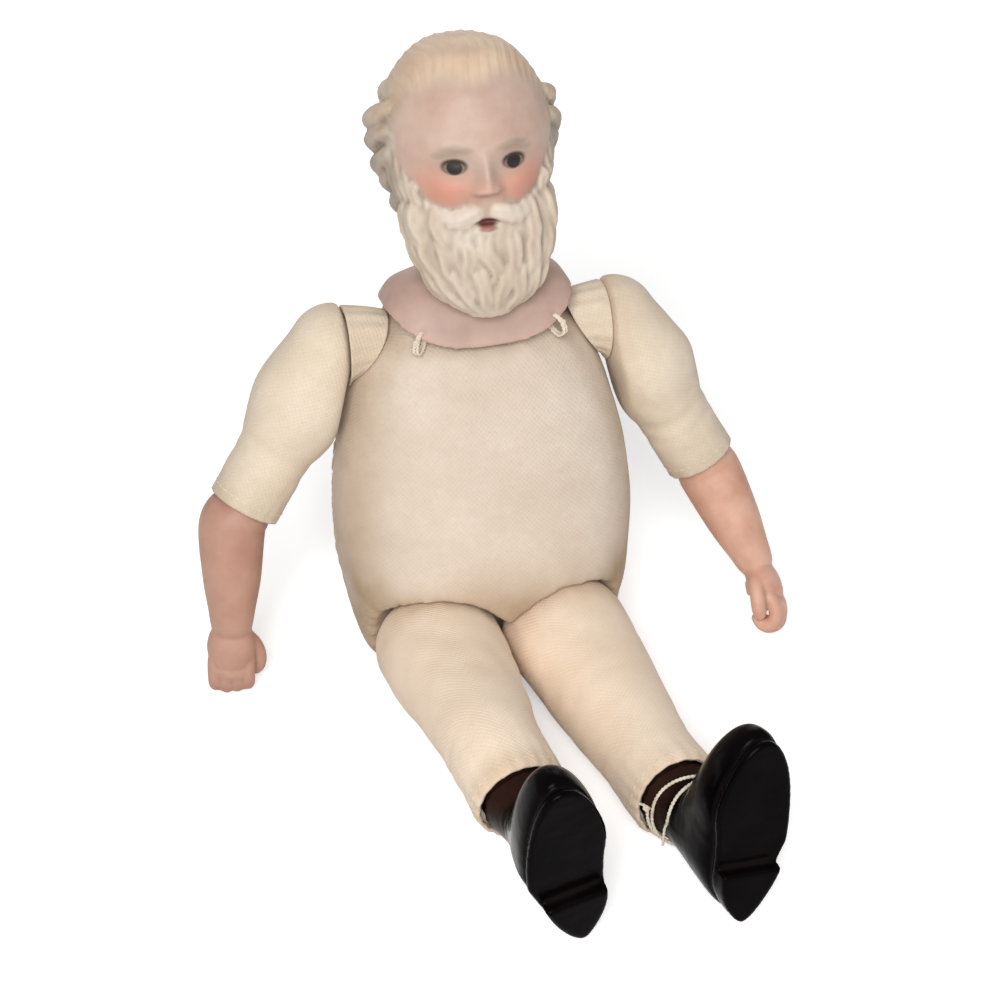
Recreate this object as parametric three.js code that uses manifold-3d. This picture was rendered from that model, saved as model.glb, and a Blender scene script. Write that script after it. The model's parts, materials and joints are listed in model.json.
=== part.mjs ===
// A seated bearded doll: a stuffed muslin body with a bisque shoulder head, bisque forearms and boots.
// Millimetres, +Z up. The doll faces -Y, its own left hand is at +X, and the origin is on the floor,
// under the flat seat of the body.

import * as THREE from 'three';
import { mergeVertices } from 'three/addons/utils/BufferGeometryUtils.js';
import Module from 'manifold-3d';

const wasm = await Module();
wasm.setup();

// Cloth, thread and the clearances between pieces
const clothThickness = 0.9;
const threadRadius = 0.55;
const fitGap = 0.3;
const paddingGap = 0.6;

// Body: level sections from the flat seat up under the shoulder plate. The plate's side edge is at
// plateHeight, and the shoulders and the plug of cloth inside the plate keep their places from it.
const plateHeight = 120;
const shoulderFall = 8;
const plugRise = 7;
const spineLean = 8;
const bodySquare = 2.4;
const seat = { height: 0, halfWidth: 33, halfDepth: 27 };
const hips = { height: 14, halfWidth: 41.5, halfDepth: 31 };
const belly = { height: 50, halfWidth: 47, halfDepth: 35 };
const chest = { height: 86, halfWidth: 42, halfDepth: 30 };
const shoulders = { height: plateHeight - shoulderFall, halfWidth: 30, halfDepth: 21 };
const bodyTop = { height: plateHeight + plugRise, halfWidth: 15, halfDepth: 7 };
const sideSeamBack = 8;
const crotchDip = 6;

// Shoulder head: sections of the hollow casting, measured up from the side edge of its shoulder plate.
// Saddle is how far the front and back of a section hang below its sides. Square is 2 for an oval
// section and more for one with fuller corners.
const headTilt = 4;
const headRoll = 2;
const plateBack = 15;
const plateEdge = { height: 0, halfWidth: 29.5, front: 22, back: 20, saddle: 10, square: 3 };
const plateSlope = { height: 6, halfWidth: 25, front: 19, back: 18, saddle: 7, square: 2.6 };
const neckBase = { height: 10, halfWidth: 15, front: 14, back: 14, saddle: 2, square: 2.1 };
const neck = { height: 17, halfWidth: 12.5, front: 12, back: 13, saddle: 0, square: 2 };
const jaw = { height: 24, halfWidth: 16, front: 21, back: 16, saddle: 0, square: 2 };
const cheeks = { height: 35, halfWidth: 21, front: 25, back: 23, saddle: 0, square: 2 };
const temples = { height: 50, halfWidth: 25, front: 26, back: 28, saddle: 0, square: 2 };
const brow = { height: 64, halfWidth: 22.5, front: 22, back: 27, saddle: 0, square: 2 };
const crown = { height: 75, halfWidth: 14, front: 12, back: 17, saddle: 0, square: 2 };
const crownTop = { height: 78.5, halfWidth: 3, front: 2, back: 4, saddle: 0, square: 2 };
const bisqueWall = 3;
const leastHollow = 0.2;

// Moulded beard, from the same level as the head sections
const beardTip = { height: 1, halfWidth: 7, halfDepth: 3.5, forward: 22 };
const beardSpread = { height: 10, halfWidth: 18, halfDepth: 8, forward: 19 };
const beardJaw = { height: 24, halfWidth: 22, halfDepth: 11, forward: 15 };
const beardSides = { height: 37, halfWidth: 23.5, halfDepth: 11, forward: 11 };

// Moulded moustache, nose and side curls
const moustacheHeight = 32.5;
const moustacheDroop = 2.5;
const moustacheSpan = 15;
const moustacheRadius = 3;
const moustacheTaper = 0.7;
const moustacheSweep = 6;
const noseHeight = 40;
const noseLength = 8;
const noseRadius = 2.8;
const noseOut = 2;
const noseTaper = 0.5;
const curlRadius = 7.2;
const curlCount = 4;
const curlLowest = 26;
const curlSpacing = 8;
const curlBack = 8;

// Stitches that hold the shoulder plate to the body, one near each corner of the plate
const stitchRadius = 3.4;
const sewHoleRadius = 1.4;
const stitchCorner = 50;

// Arms, hung below the edge of the shoulder plate
const armFall = 14;
const armHeight = plateHeight - armFall;
const shoulderOffset = 10.5;
const shoulderRadius = 13.5;
const upperArmRadius = 15.8;
const elbowRadius = 11.3;
const upperArmLength = 38;
const armSeamRadius = 11;
const armSeamThickness = 1.2;
const elbowReach = 35;
const armCuffLength = 18;
const armTilt = { right: 33, left: 29.5 };
const armForward = { right: 10, left: 9 };

// Bisque forearms: the casting bends towards the thumb
const forearmTop = 9;
const forearmBulge = 9.8;
const wristWidth = 6.2;
const wristThickness = 5.4;
const forearmLength = 40;
const forearmBend = 28;
const bendShare = 0.2;
const handTurn = { right: 78, left: -16 };

// Fists
const palm = { thickness: 5, width: 7.6, length: 8.9, toFingers: 0.5, fall: 5.5 };
const fingerCount = 4;
const fingerSpacing = 3.6;
const fingerRadius = 2.2;
const fingerEnd = 0.1;
const fingerCurl = [[0.5, -8.5], [0, -15], [2.2, -19.2], [6, -19.2], [7.3, -14]];
const thumbRadius = 2.3;
const thumbPath = [[1, -5, -3.5], [2.6, -8, -7.7], [4.3, -8, -12.8], [5.6, -6, -16]];

// Legs
const hipForward = 21;
const hipRadius = 17.2;
const hipBroad = 1.15;
const thighRadius = 16.3;
const kneeRadius = 14;
const thighLength = 67;
const kneeReach = 40;
const legCuffLength = 21;
const legYaw = { right: 1.6, left: 6 };
const shinFall = { right: 10, left: 0 };
const shinTurn = { right: 7, left: 4 };
const toesOut = { right: 9, left: 7 };
const hipLift = 5;
const floorGap = 0.4;
const fillingShare = 1 / 3;

// Bisque boots: level sections of the foot, measured up from the top of the sole
const footSole = { height: 0, halfWidth: 11.6, heel: 13, toe: 41 };
const footWelt = { height: 4, halfWidth: 12.8, heel: 14, toe: 43 };
const footToe = { height: 11, halfWidth: 12.3, heel: 13, toe: 40 };
const footVamp = { height: 17, halfWidth: 11, heel: 12, toe: 29 };
const footInstep = { height: 22, halfWidth: 10.2, heel: 11, toe: 16 };
const bootAnkle = { height: 27, halfWidth: 9.8, heel: 10.5, toe: 11 };
const bootRim = { height: 35, halfWidth: 11.6, heel: 11.6, toe: 11.6 };
const bootNeck = 10.5;
const soleThickness = 2.2;
const heelHeight = 4;
const heelShare = 0.32;
const heelNarrowing = 0.65;
const archNip = 0.25;
const archPlace = 9;
const archSpread = 9;
const toeFullness = 0.85;
const boreRadius = 4.5;
const boreDepth = 24;

// Thread wound round the boot
const laceTurns = 2;
const lacePitch = 6;
const laceTop = 4;

// Collars of the castings, with the groove where a thread ties the cloth on
const collarHeight = 2;
const grooveHeight = 2;
const grooveDepth = 1.7;

// Fineness of the faceted surfaces: rows along and sides round
const limbSides = 14;
const limbRows = 6;
const endRows = 4;
const bodyMesh = { rows: 9, sides: 18 };
const headMesh = { rows: 18, sides: 22 };
const hollowMesh = { rows: 12, sides: 16 };
const beardMesh = { rows: 6, sides: 18 };
const featureMesh = { rows: 4, sides: 8 };
const forearmMesh = { rows: 7, sides: 12 };
const fingerMesh = { rows: 5, sides: 6 };
const footMesh = { rows: 13, sides: 18 };
const clearanceMesh = { rows: 10, sides: 16 };
const threadSides = 6;
const loopSides = 12;
const laceSteps = 20;
const facetRoom = 1 / Math.cos(Math.PI / limbSides);

// Longer than any piece, and a little beyond a face, for the solids that only cut
const far = 200;
const beyond = 1;

const radians = THREE.MathUtils.degToRad;
const handSides = [{ name: 'right', sign: -1 }, { name: 'left', sign: 1 }];

// A geometry as a solid that can be joined and cut, with shared corners and without flattened triangles.
function solid(geometry) {
  const plain = geometry.clone();
  plain.deleteAttribute('normal');
  plain.deleteAttribute('uv');
  const merged = mergeVertices(plain, 1e-4);
  const corners = Array.from(merged.index.array);
  const triangles = [];
  for (let i = 0; i < corners.length; i += 3) {
    const [a, b, c] = corners.slice(i, i + 3);
    if (a !== b && b !== c && c !== a) triangles.push(a, b, c);
  }
  return new wasm.Manifold(new wasm.Mesh({
    numProp: 3,
    vertProperties: new Float32Array(merged.attributes.position.array),
    triVerts: new Uint32Array(triangles),
  }));
}

function geometryOf(shape) {
  const mesh = shape.getMesh();
  const geometry = new THREE.BufferGeometry();
  geometry.setAttribute('position', new THREE.BufferAttribute(mesh.vertProperties, 3));
  geometry.setIndex(new THREE.BufferAttribute(mesh.triVerts, 1));
  return geometry;
}

const join = (first, ...others) =>
  geometryOf(others.reduce((sum, next) => sum.add(solid(next)), solid(first)));
const cut = (first, ...tools) =>
  geometryOf(tools.reduce((rest, tool) => rest.subtract(solid(tool)), solid(first)));
const common = (first, second) => geometryOf(solid(first).intersect(solid(second)));

// Sizes between named sections, each read along its own smooth curve, at a share of the way up.
function sectionAt(sections, share) {
  const sizes = {};
  for (const size of Object.keys(sections[0])) {
    const points = sections.map((section, i) => new THREE.Vector2(i, section[size]));
    sizes[size] = new THREE.SplineCurve(points).getPoint(share).y;
  }
  return sizes;
}

// A closed surface from rings of points that climb from share 0 to share 1 and run round anticlockwise.
function closedSurface({ rows, sides }, point) {
  const positions = [];
  const index = [];
  const middles = [new THREE.Vector3(), new THREE.Vector3()];
  for (let i = 0; i <= rows; i++) {
    for (let j = 0; j < sides; j++) {
      const corner = point(i / rows, 2 * Math.PI * j / sides);
      positions.push(...corner.toArray());
      if (i === 0) middles[0].addScaledVector(corner, 1 / sides);
      if (i === rows) middles[1].addScaledVector(corner, 1 / sides);
    }
  }
  positions.push(...middles[0].toArray(), ...middles[1].toArray());
  const bottom = (rows + 1) * sides;
  const at = (row, side) => row * sides + (side % sides);
  for (let j = 0; j < sides; j++) {
    index.push(bottom, at(0, j + 1), at(0, j), bottom + 1, at(rows, j), at(rows, j + 1));
    for (let i = 0; i < rows; i++) {
      index.push(at(i, j), at(i, j + 1), at(i + 1, j + 1), at(i, j), at(i + 1, j + 1), at(i + 1, j));
    }
  }
  const geometry = new THREE.BufferGeometry();
  geometry.setAttribute('position', new THREE.Float32BufferAttribute(positions, 3));
  geometry.setIndex(index);
  return geometry;
}

// A solid turned about Z, from a profile of [radius, height] that climbs from the axis back to the axis.
function turned(profile, turnSides = limbSides) {
  const points = profile.map(([radius, height]) => new THREE.Vector2(radius, height));
  return new THREE.LatheGeometry(points, turnSides).rotateX(Math.PI / 2);
}

// Points of a profile on an arc about [0, height], between two angles from level.
function arc(height, radius, from, to, steps) {
  return Array.from({ length: steps + 1 }, (_, i) => {
    const angle = radians(from + (to - from) * i / steps);
    return [Math.max(0, radius * Math.cos(angle)), height + radius * Math.sin(angle)];
  });
}

const ball = (radius, ballSides = limbSides) => turned(arc(0, radius, -90, 90, ballSides / 2), ballSides);
const rod = (radius, from, to, rodSides = limbSides) =>
  turned([[0, from], [radius, from], [radius, to], [0, to]], rodSides);
const collar = (inner, outer, from, to) =>
  turned([[inner, from], [outer, from], [outer, to], [inner, to], [inner, from]]);
const block = (x, y, z) => new THREE.BoxGeometry(x[1] - x[0], y[1] - y[0], z[1] - z[0])
  .translate((x[0] + x[1]) / 2, (y[0] + y[1]) / 2, (z[0] + z[1]) / 2);

// A closed loop of round thread in the XZ plane.
const loop = (radius, thread) => turned(Array.from({ length: threadSides + 1 }, (_, i) => {
  const angle = -2 * Math.PI * i / threadSides;
  return [radius - thread * Math.cos(angle), thread * Math.sin(angle)];
}), loopSides).rotateX(Math.PI / 2);

// Smooth values through evenly spaced ones.
const smooth = (values, share) =>
  new THREE.SplineCurve(values.map((value, i) => new THREE.Vector2(i, value))).getPoint(share).y;

// A solid that follows a curve. Its oval section has the half sizes [along the given side, across it].
function swept(points, mesh, side, halfSizes) {
  const curve = new THREE.CatmullRomCurve3(points.map((point) => new THREE.Vector3(...point)));
  return closedSurface(mesh, (share, angle) => {
    const [across, through] = halfSizes(share);
    const tangent = curve.getTangent(share);
    const level = side.clone().addScaledVector(tangent, -side.dot(tangent)).normalize();
    const other = new THREE.Vector3().crossVectors(tangent, level);
    return curve.getPoint(share)
      .addScaledVector(level, across * Math.cos(angle))
      .addScaledVector(other, through * Math.sin(angle));
  });
}

const round = (radius) => [radius, radius];
const sideways = new THREE.Vector3(1, 0, 0);
const forwards = new THREE.Vector3(0, 1, 0);

const muslin = '#e6d7c0';
const bodyMuslin = '#dccab8';
const legMuslin = '#efdcc2';
const wadding = '#efe9dc';
const fleshBisque = '#dfa68c';
const headBisque = '#ead7c4';
const bootGlaze = '#1d120f';
const thread = '#efe6d4';

function piece(name, geometry, color, roughness) {
  const mesh = new THREE.Mesh(geometry, new THREE.MeshStandardMaterial({ color, roughness, metalness: 0 }));
  mesh.name = name;
  return mesh;
}

function groupAt(place, ...children) {
  const group = new THREE.Group();
  group.applyMatrix4(place);
  group.add(...children);
  return group;
}

const translation = (x, y, z) => new THREE.Matrix4().makeTranslation(x, y, z);
const turnAboutX = (degrees) => new THREE.Matrix4().makeRotationX(radians(degrees));
const turnAboutY = (degrees) => new THREE.Matrix4().makeRotationY(radians(degrees));
const turnAboutZ = (degrees) => new THREE.Matrix4().makeRotationZ(radians(degrees));

const doll = new THREE.Group();

// Body form. The middle of each level section lies back along the leaning spine.
const bodySections = [seat, hips, belly, chest, shoulders, bodyTop];
const spineAt = (height) => height * Math.tan(radians(spineLean));
const squared = (value, square) => Math.sign(value) * Math.abs(value) ** (2 / square);

function bodyForm(inset, mesh) {
  return closedSurface(mesh, (share, angle) => {
    const { height, halfWidth, halfDepth } = sectionAt(bodySections, share);
    return new THREE.Vector3(
      squared(Math.cos(angle), bodySquare) * (halfWidth - inset),
      squared(Math.sin(angle), bodySquare) * (halfDepth - inset) + spineAt(height),
      inset + height * (bodyTop.height - 2 * inset) / bodyTop.height);
  });
}

// Where a leg turns at the hip, and how it lies at rest: out in front with its heel on the floor.
const hipHeight = hipRadius + floorGap;
const soleFall = bootRim.height + soleThickness + heelHeight;
const hipSpacing = hipRadius * hipBroad + fitGap;
const thighRise = ({ name }) => {
  const shin = radians(shinFall[name]);
  const kneeHeight = floorGap
    + footWelt.heel * Math.cos(shin) + (legCuffLength + soleFall) * Math.sin(shin);
  return THREE.MathUtils.radToDeg(Math.asin((kneeHeight - hipHeight) / thighLength));
};
const legPlace = (side) => translation(side.sign * hipSpacing, -hipForward, hipHeight)
  .multiply(turnAboutZ(legYaw[side.name])).multiply(turnAboutX(-90 - thighRise(side)));
const kneePlace = (side) => translation(0, 0, -thighLength)
  .multiply(turnAboutX(thighRise(side) + shinFall[side.name]))
  .multiply(turnAboutY(-shinTurn[side.name]));

// The thigh is broader than it is deep at the hip, and round at the knee.
function broadened(geometry) {
  const corners = geometry.attributes.position;
  for (let i = 0; i < corners.count; i++) {
    const share = Math.min(1, Math.max(0, (corners.getZ(i) + thighLength) / (thighLength - hipRadius)));
    corners.setX(i, corners.getX(i) * (1 + (hipBroad - 1) * share));
  }
  return geometry;
}

// The room that a thigh sweeps out in the body, from hanging straight down to lifted above its rest.
function hipRoom(side, grow) {
  const radius = (hipRadius + fitGap) * facetRoom ** 2 + grow;
  const leg = (degrees) => rod(radius, -far, 0).rotateX(radians(degrees));
  const between = block([-radius, radius], [0, far], [-far, 0]);
  return join(ball(radius), leg(0), leg(-hipLift), leg(90 + thighRise(side)), between)
    .scale(hipBroad, 1, 1).applyMatrix4(legPlace(side));
}

// Room between the legs, so that no cusp of cloth is left there.
const crotchRoom = (grow) => block(
  [-hipSpacing / 2, hipSpacing / 2],
  [-far, hipRadius - hipForward + grow],
  [-far, 2 * hipRadius - crotchDip + grow]);

// Shoulder head. The hollow's levels are drawn in too, which keeps the wall even at the crown.
const headSections = [plateEdge, plateSlope, neckBase, neck, jaw, cheeks, temples, brow, crown, crownTop];
const headPlace = translation(0, plateBack, plateHeight)
  .multiply(turnAboutX(-headTilt)).multiply(turnAboutY(-headRoll));

function headPoint(share, angle, inset) {
  const { height, halfWidth, front, back, saddle, square } = sectionAt(headSections, share);
  const depth = Math.sin(angle) < 0 ? front : back;
  const shrink = Math.max(leastHollow, 1 - inset / halfWidth);
  return new THREE.Vector3(
    halfWidth * shrink * squared(Math.cos(angle), square),
    depth * shrink * squared(Math.sin(angle), square),
    height - saddle * Math.sin(angle) ** 2 - inset * Math.abs(2 * share - 1));
}

const headForm = (inset, fall, mesh) => closedSurface(mesh, (share, angle) => {
  const point = headPoint(share, angle, inset);
  if (share === 0) point.z -= fall;
  return point;
});

// The plate and neck as one filled lump, larger by a gap, which clears the top of the body.
const plateRoom = (grow) =>
  headForm(-fitGap - grow, 2 * (fitGap + grow), headMesh).applyMatrix4(headPlace);

const beardSections = [beardTip, beardSpread, beardJaw, beardSides];
const beardForm = closedSurface(beardMesh, (share, angle) => {
  const { height, halfWidth, halfDepth, forward } = sectionAt(beardSections, share);
  return new THREE.Vector3(halfWidth * Math.cos(angle), halfDepth * Math.sin(angle) - forward, height);
});

const faceFront = beardJaw.forward + beardJaw.halfDepth;
const moustacheSide = (sign) => swept(
  [[0, -faceFront, moustacheHeight],
    [sign * moustacheSpan / 2, moustacheSweep / 4 - faceFront, moustacheHeight - moustacheDroop],
    [sign * moustacheSpan, moustacheSweep - faceFront, moustacheHeight + moustacheDroop]],
  featureMesh, forwards, (share) => round(moustacheRadius * (1 - moustacheTaper * share)));
const noseForm = swept(
  [[0, -cheeks.front, noseHeight + noseLength],
    [0, -cheeks.front - noseOut, noseHeight + noseLength / 3],
    [0, -cheeks.front - noseOut / 2, noseHeight - noseRadius / 2]],
  featureMesh, sideways, (share) => round(noseRadius * (noseTaper + (1 - noseTaper) * share)));

// The share of the way up at which sections first reach a height.
function shareAt(sections, height) {
  let share = 0;
  while (share < 1 && sectionAt(sections, share).height < height) share += 0.01;
  return share;
}

const curls = handSides.flatMap(({ sign }) => Array.from({ length: curlCount }, (_, i) => {
  const share = shareAt(headSections, curlLowest + i * curlSpacing);
  const place = headPoint(share, radians(sign > 0 ? curlBack : 180 - curlBack), curlRadius / 2);
  return ball(curlRadius, featureMesh.sides).translate(...place);
}));

// A stitch goes through the plate near a corner and round its edge, square to the wall of the casting.
const stitchCorners = [
  ['front_right', 180 + stitchCorner], ['front_left', -stitchCorner],
  ['back_right', 180 - stitchCorner], ['back_left', stitchCorner]];
function stitchPlace(degrees) {
  const angle = radians(degrees);
  const edge = headPoint(0, angle, bisqueWall / 2);
  const above = headPoint(1 / (headSections.length - 1), angle, bisqueWall / 2);
  const upWall = above.sub(edge).normalize();
  const outward = new THREE.Vector3(Math.cos(angle), Math.sin(angle), 0);
  const along = new THREE.Vector3().crossVectors(upWall, outward).normalize();
  const through = new THREE.Vector3().crossVectors(along, upWall);
  return headPlace.clone().multiply(
    new THREE.Matrix4().makeBasis(through, along, upWall).setPosition(edge));
}

const stitches = stitchCorners.map(([corner, degrees]) => ({ corner, place: stitchPlace(degrees) }));
const intoHead = headPlace.clone().invert();
const sewHoles = stitches.map(({ place }) => rod(sewHoleRadius, -bisqueWall, bisqueWall, featureMesh.sides)
  .rotateY(Math.PI / 2).translate(0, 0, stitchRadius).applyMatrix4(intoHead.clone().multiply(place)));
const shoulderHead = cut(
  join(headForm(0, 0, headMesh), beardForm, moustacheSide(1), moustacheSide(-1), noseForm, ...curls),
  headForm(bisqueWall, 2 * bisqueWall, hollowMesh), ...sewHoles);
doll.add(groupAt(headPlace, piece('shoulder_head', shoulderHead, headBisque, 0.45)));

for (const { corner, place } of stitches) {
  doll.add(groupAt(place, piece(`plate_stitch_${corner}`, loop(stitchRadius, threadRadius), thread, 0.9)));
}

// Body: two sewn panels of muslin over the stuffing, cleared for the legs, the plate and its stitches.
const bodyRooms = (grow) =>
  [...handSides.map((side) => hipRoom(side, grow)), crotchRoom(grow), plateRoom(grow)];
const stitchRooms = stitches.map(({ place }) =>
  loop(stitchRadius, threadRadius + fitGap).applyMatrix4(place));
const bodyOutside = cut(bodyForm(0, bodyMesh), ...bodyRooms(0));
const bodyInside = cut(bodyForm(clothThickness, bodyMesh), ...bodyRooms(clothThickness));
const bodyCover = cut(bodyOutside, bodyInside, ...stitchRooms);
const seamHalf = (y) =>
  block([-far, far], y, [-far, far]).rotateX(-radians(spineLean)).translate(0, sideSeamBack, 0);
doll.add(
  piece('body_front_panel', common(bodyCover, seamHalf([-far, -fitGap / 2])), bodyMuslin, 0.95),
  piece('body_back_panel', common(bodyCover, seamHalf([fitGap / 2, far])), bodyMuslin, 0.95));

const paddingInset = clothThickness + paddingGap;
doll.add(piece('body_stuffing',
  cut(bodyForm(paddingInset, bodyMesh), ...bodyRooms(paddingInset), ...stitchRooms), wadding, 1));

// Half the width of the body at its widest from a height upwards.
function bodyHalfWidthAbove(height) {
  const from = shareAt(bodySections, height);
  const widths = bodySections.map((_, i) =>
    sectionAt(bodySections, from + (1 - from) * i / bodySections.length).halfWidth);
  return Math.max(...widths);
}

// Everything nearer the middle than the body's side, as the arm's swing about X sees it, plus an offset.
function armClearance({ sign }, offset) {
  const reach = armHeight - seat.height;
  const face = Array.from({ length: clearanceMesh.rows + 1 }, (_, i) => {
    const radius = reach * (1 - i / clearanceMesh.rows);
    return [radius, bodyHalfWidthAbove(armHeight - radius) + offset];
  });
  return turned([[0, -beyond], [reach, -beyond], ...face], clearanceMesh.sides)
    .rotateY(sign * Math.PI / 2).translate(0, spineAt(armHeight), armHeight);
}

const shoulderAcross = bodyHalfWidthAbove(armHeight) + shoulderOffset;
const armPlace = ({ name, sign }) =>
  translation(sign * shoulderAcross, spineAt(armHeight), armHeight)
    .multiply(turnAboutX(-armForward[name])).multiply(turnAboutY(-sign * armTilt[name]));

// Radii along a limb from its far end to its root, between the two rounded ends.
const limbProfile = (radii, length, inset) => Array.from({ length: limbRows - 1 }, (_, i) => {
  const share = (i + 1) / limbRows;
  return [smooth(radii, share) - inset, -length * (1 - share)];
});

const upperArmForm = (inset) => turned([
  ...arc(-upperArmLength, elbowRadius - inset, -90, 0, endRows),
  ...limbProfile([elbowRadius, upperArmRadius, shoulderRadius], upperArmLength, inset),
  ...arc(0, shoulderRadius - inset, 0, 90, endRows)]);

const thighForm = (inset) => broadened(turned([
  ...arc(-thighLength, kneeRadius - inset, -90, 0, endRows),
  ...limbProfile([kneeRadius, (kneeRadius + thighRadius) / 2, thighRadius, hipRadius], thighLength, inset),
  ...arc(0, hipRadius - inset, 0, 90, endRows)]));

// The collar end of a casting, below the ball of cloth that it hangs from, and the thread in its groove.
function collarEnd(ballRadius, shoulderOfCasting, length) {
  const outer = ballRadius - clothThickness - fitGap;
  const top = -ballRadius - fitGap;
  const grooveTop = top - collarHeight;
  const grooveFoot = grooveTop - grooveHeight;
  return {
    outer,
    grooveTop,
    grooveFoot,
    solid: turned([
      [0, -length], [shoulderOfCasting, -length], [shoulderOfCasting, grooveFoot],
      [outer - grooveDepth, grooveFoot], [outer - grooveDepth, grooveTop],
      [outer, grooveTop], [outer, top], [0, top]]),
    tie: collar(outer - grooveDepth + fitGap, outer, grooveFoot + fitGap, grooveTop - fitGap),
  };
}

const cuff = (ballRadius, reach, length) => collar(
  ballRadius - clothThickness, ballRadius, -length, -ballRadius * Math.sin(radians(reach)) - fitGap);

// Fists and forearms, modelled for the right side: the thumb is towards -Y and the palm faces +X.
function forearmForm() {
  const end = collarEnd(elbowRadius, forearmTop, armCuffLength);
  const bend = radians(forearmBend);
  const bendAt = -armCuffLength - forearmLength * bendShare;
  const hang = forearmLength * (1 - bendShare);
  const wrist = [0, -hang * Math.sin(bend), bendAt - hang * Math.cos(bend)];
  const halfway = [0, wrist[1] / 2, (bendAt + wrist[2]) / 2];
  const thick = [wristThickness, (wristThickness + forearmBulge) / 2, forearmBulge, forearmTop];
  const wide = [wristWidth, (wristWidth + forearmBulge) / 2, forearmBulge, forearmTop];
  const shaft = swept(
    [wrist, halfway, [0, 0, bendAt], [0, 0, end.grooveFoot - beyond]],
    forearmMesh, sideways, (share) => [smooth(thick, share), smooth(wide, share)]);
  const digit = (path, side, radius) => swept([...path].reverse(), fingerMesh, side,
    (share) => round(radius * Math.sqrt(Math.max(fingerEnd, 1 - Math.abs(2 * share - 1) ** 5))));
  const fingers = Array.from({ length: fingerCount }, (_, i) => {
    const across = (i - (fingerCount - 1) / 2) * fingerSpacing;
    return digit(fingerCurl.map(([x, z]) => [x, across, z]), forwards, fingerRadius);
  });
  const palmForm = ball(1, forearmMesh.sides)
    .scale(palm.thickness, palm.width, palm.length).translate(palm.toFingers, 0, -palm.fall);
  const fist = join(palmForm, ...fingers, digit(thumbPath, sideways, thumbRadius))
    .rotateX(-bend).translate(...wrist);
  return { casting: join(end.solid, shaft, fist), tie: end.tie };
}

// The outline of the foot at a share of its height, moved outwards by an offset. The arch is at +X.
const footSections = [footSole, footWelt, footToe, footVamp, footInstep, bootAnkle, bootRim];
function footPoint(share, angle, offset) {
  const { height, halfWidth, heel, toe } = sectionAt(footSections, share);
  const length = Math.sin(angle) < 0 ? toe : heel;
  const y = (length + offset) * Math.sign(Math.sin(angle)) * Math.abs(Math.sin(angle)) ** toeFullness;
  const nip = Math.exp(-(((y + archPlace) / archSpread) ** 2)) * (1 - share);
  const side = Math.cos(angle);
  const backwards = Math.max(0, (y + archPlace) / (heel + archPlace));
  const narrowed = 1 - heelNarrowing * (1 - share) * backwards;
  const nipped = 1 - (side > 0 ? archNip * nip : 0);
  return new THREE.Vector3((halfWidth + offset) * side * narrowed * nipped, y, height);
}

// Boots, modelled for the right side: the arch is towards +X and the toes point to -Y.
function bootForm() {
  const end = collarEnd(kneeRadius, bootNeck, legCuffLength + grooveHeight);
  const heelFloor = -legCuffLength - soleFall;
  const soleFloor = heelFloor + heelHeight;
  const footFloor = soleFloor + soleThickness;
  const foot = closedSurface(footMesh, (share, angle) => footPoint(share, angle, 0))
    .translate(0, 0, footFloor);
  const weltOut = footWelt.halfWidth - footSole.halfWidth;
  const outline = new THREE.Shape(Array.from({ length: footMesh.sides }, (_, i) => {
    const { x, y } = footPoint(0, 2 * Math.PI * i / footMesh.sides, weltOut);
    return new THREE.Vector2(x, y);
  }));
  const slab = (thickness) => new THREE.ExtrudeGeometry(outline, { depth: thickness, bevelEnabled: false });
  const heelFront = footSole.heel - heelShare * (footSole.heel + footSole.toe);
  const heelBlock = common(slab(heelHeight + beyond), block([-far, far], [heelFront, far], [-far, far]));
  return {
    casting: cut(
      join(end.solid, foot, slab(soleThickness + beyond / 2).translate(0, 0, soleFloor),
        heelBlock.translate(0, 0, heelFloor)),
      rod(boreRadius, -boreDepth, 0).translate(0, 0, -kneeRadius)),
    tie: end.tie,
    footFloor,
  };
}

// The thread round the boot: a helix that follows the outline of the shaft at its own clearance.
function laceForm(footFloor) {
  const shaft = (bootRim.height - bootAnkle.height) * (footSections.length - 1);
  const route = Array.from({ length: laceTurns * laceSteps + 1 }, (_, i) => {
    const turn = i / laceSteps;
    const share = 1 - (laceTop + lacePitch * turn) / shaft;
    return footPoint(share, 2 * Math.PI * turn, threadRadius * 2 + fitGap).setZ(
      sectionAt(footSections, share).height + footFloor);
  });
  const section = new THREE.Shape(Array.from({ length: threadSides }, (_, i) => {
    const angle = 2 * Math.PI * i / threadSides;
    return new THREE.Vector2(threadRadius * Math.cos(angle), threadRadius * Math.sin(angle));
  }));
  return new THREE.ExtrudeGeometry(section, {
    extrudePath: new THREE.CatmullRomCurve3(route), steps: laceTurns * laceSteps, bevelEnabled: false,
  });
}

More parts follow.
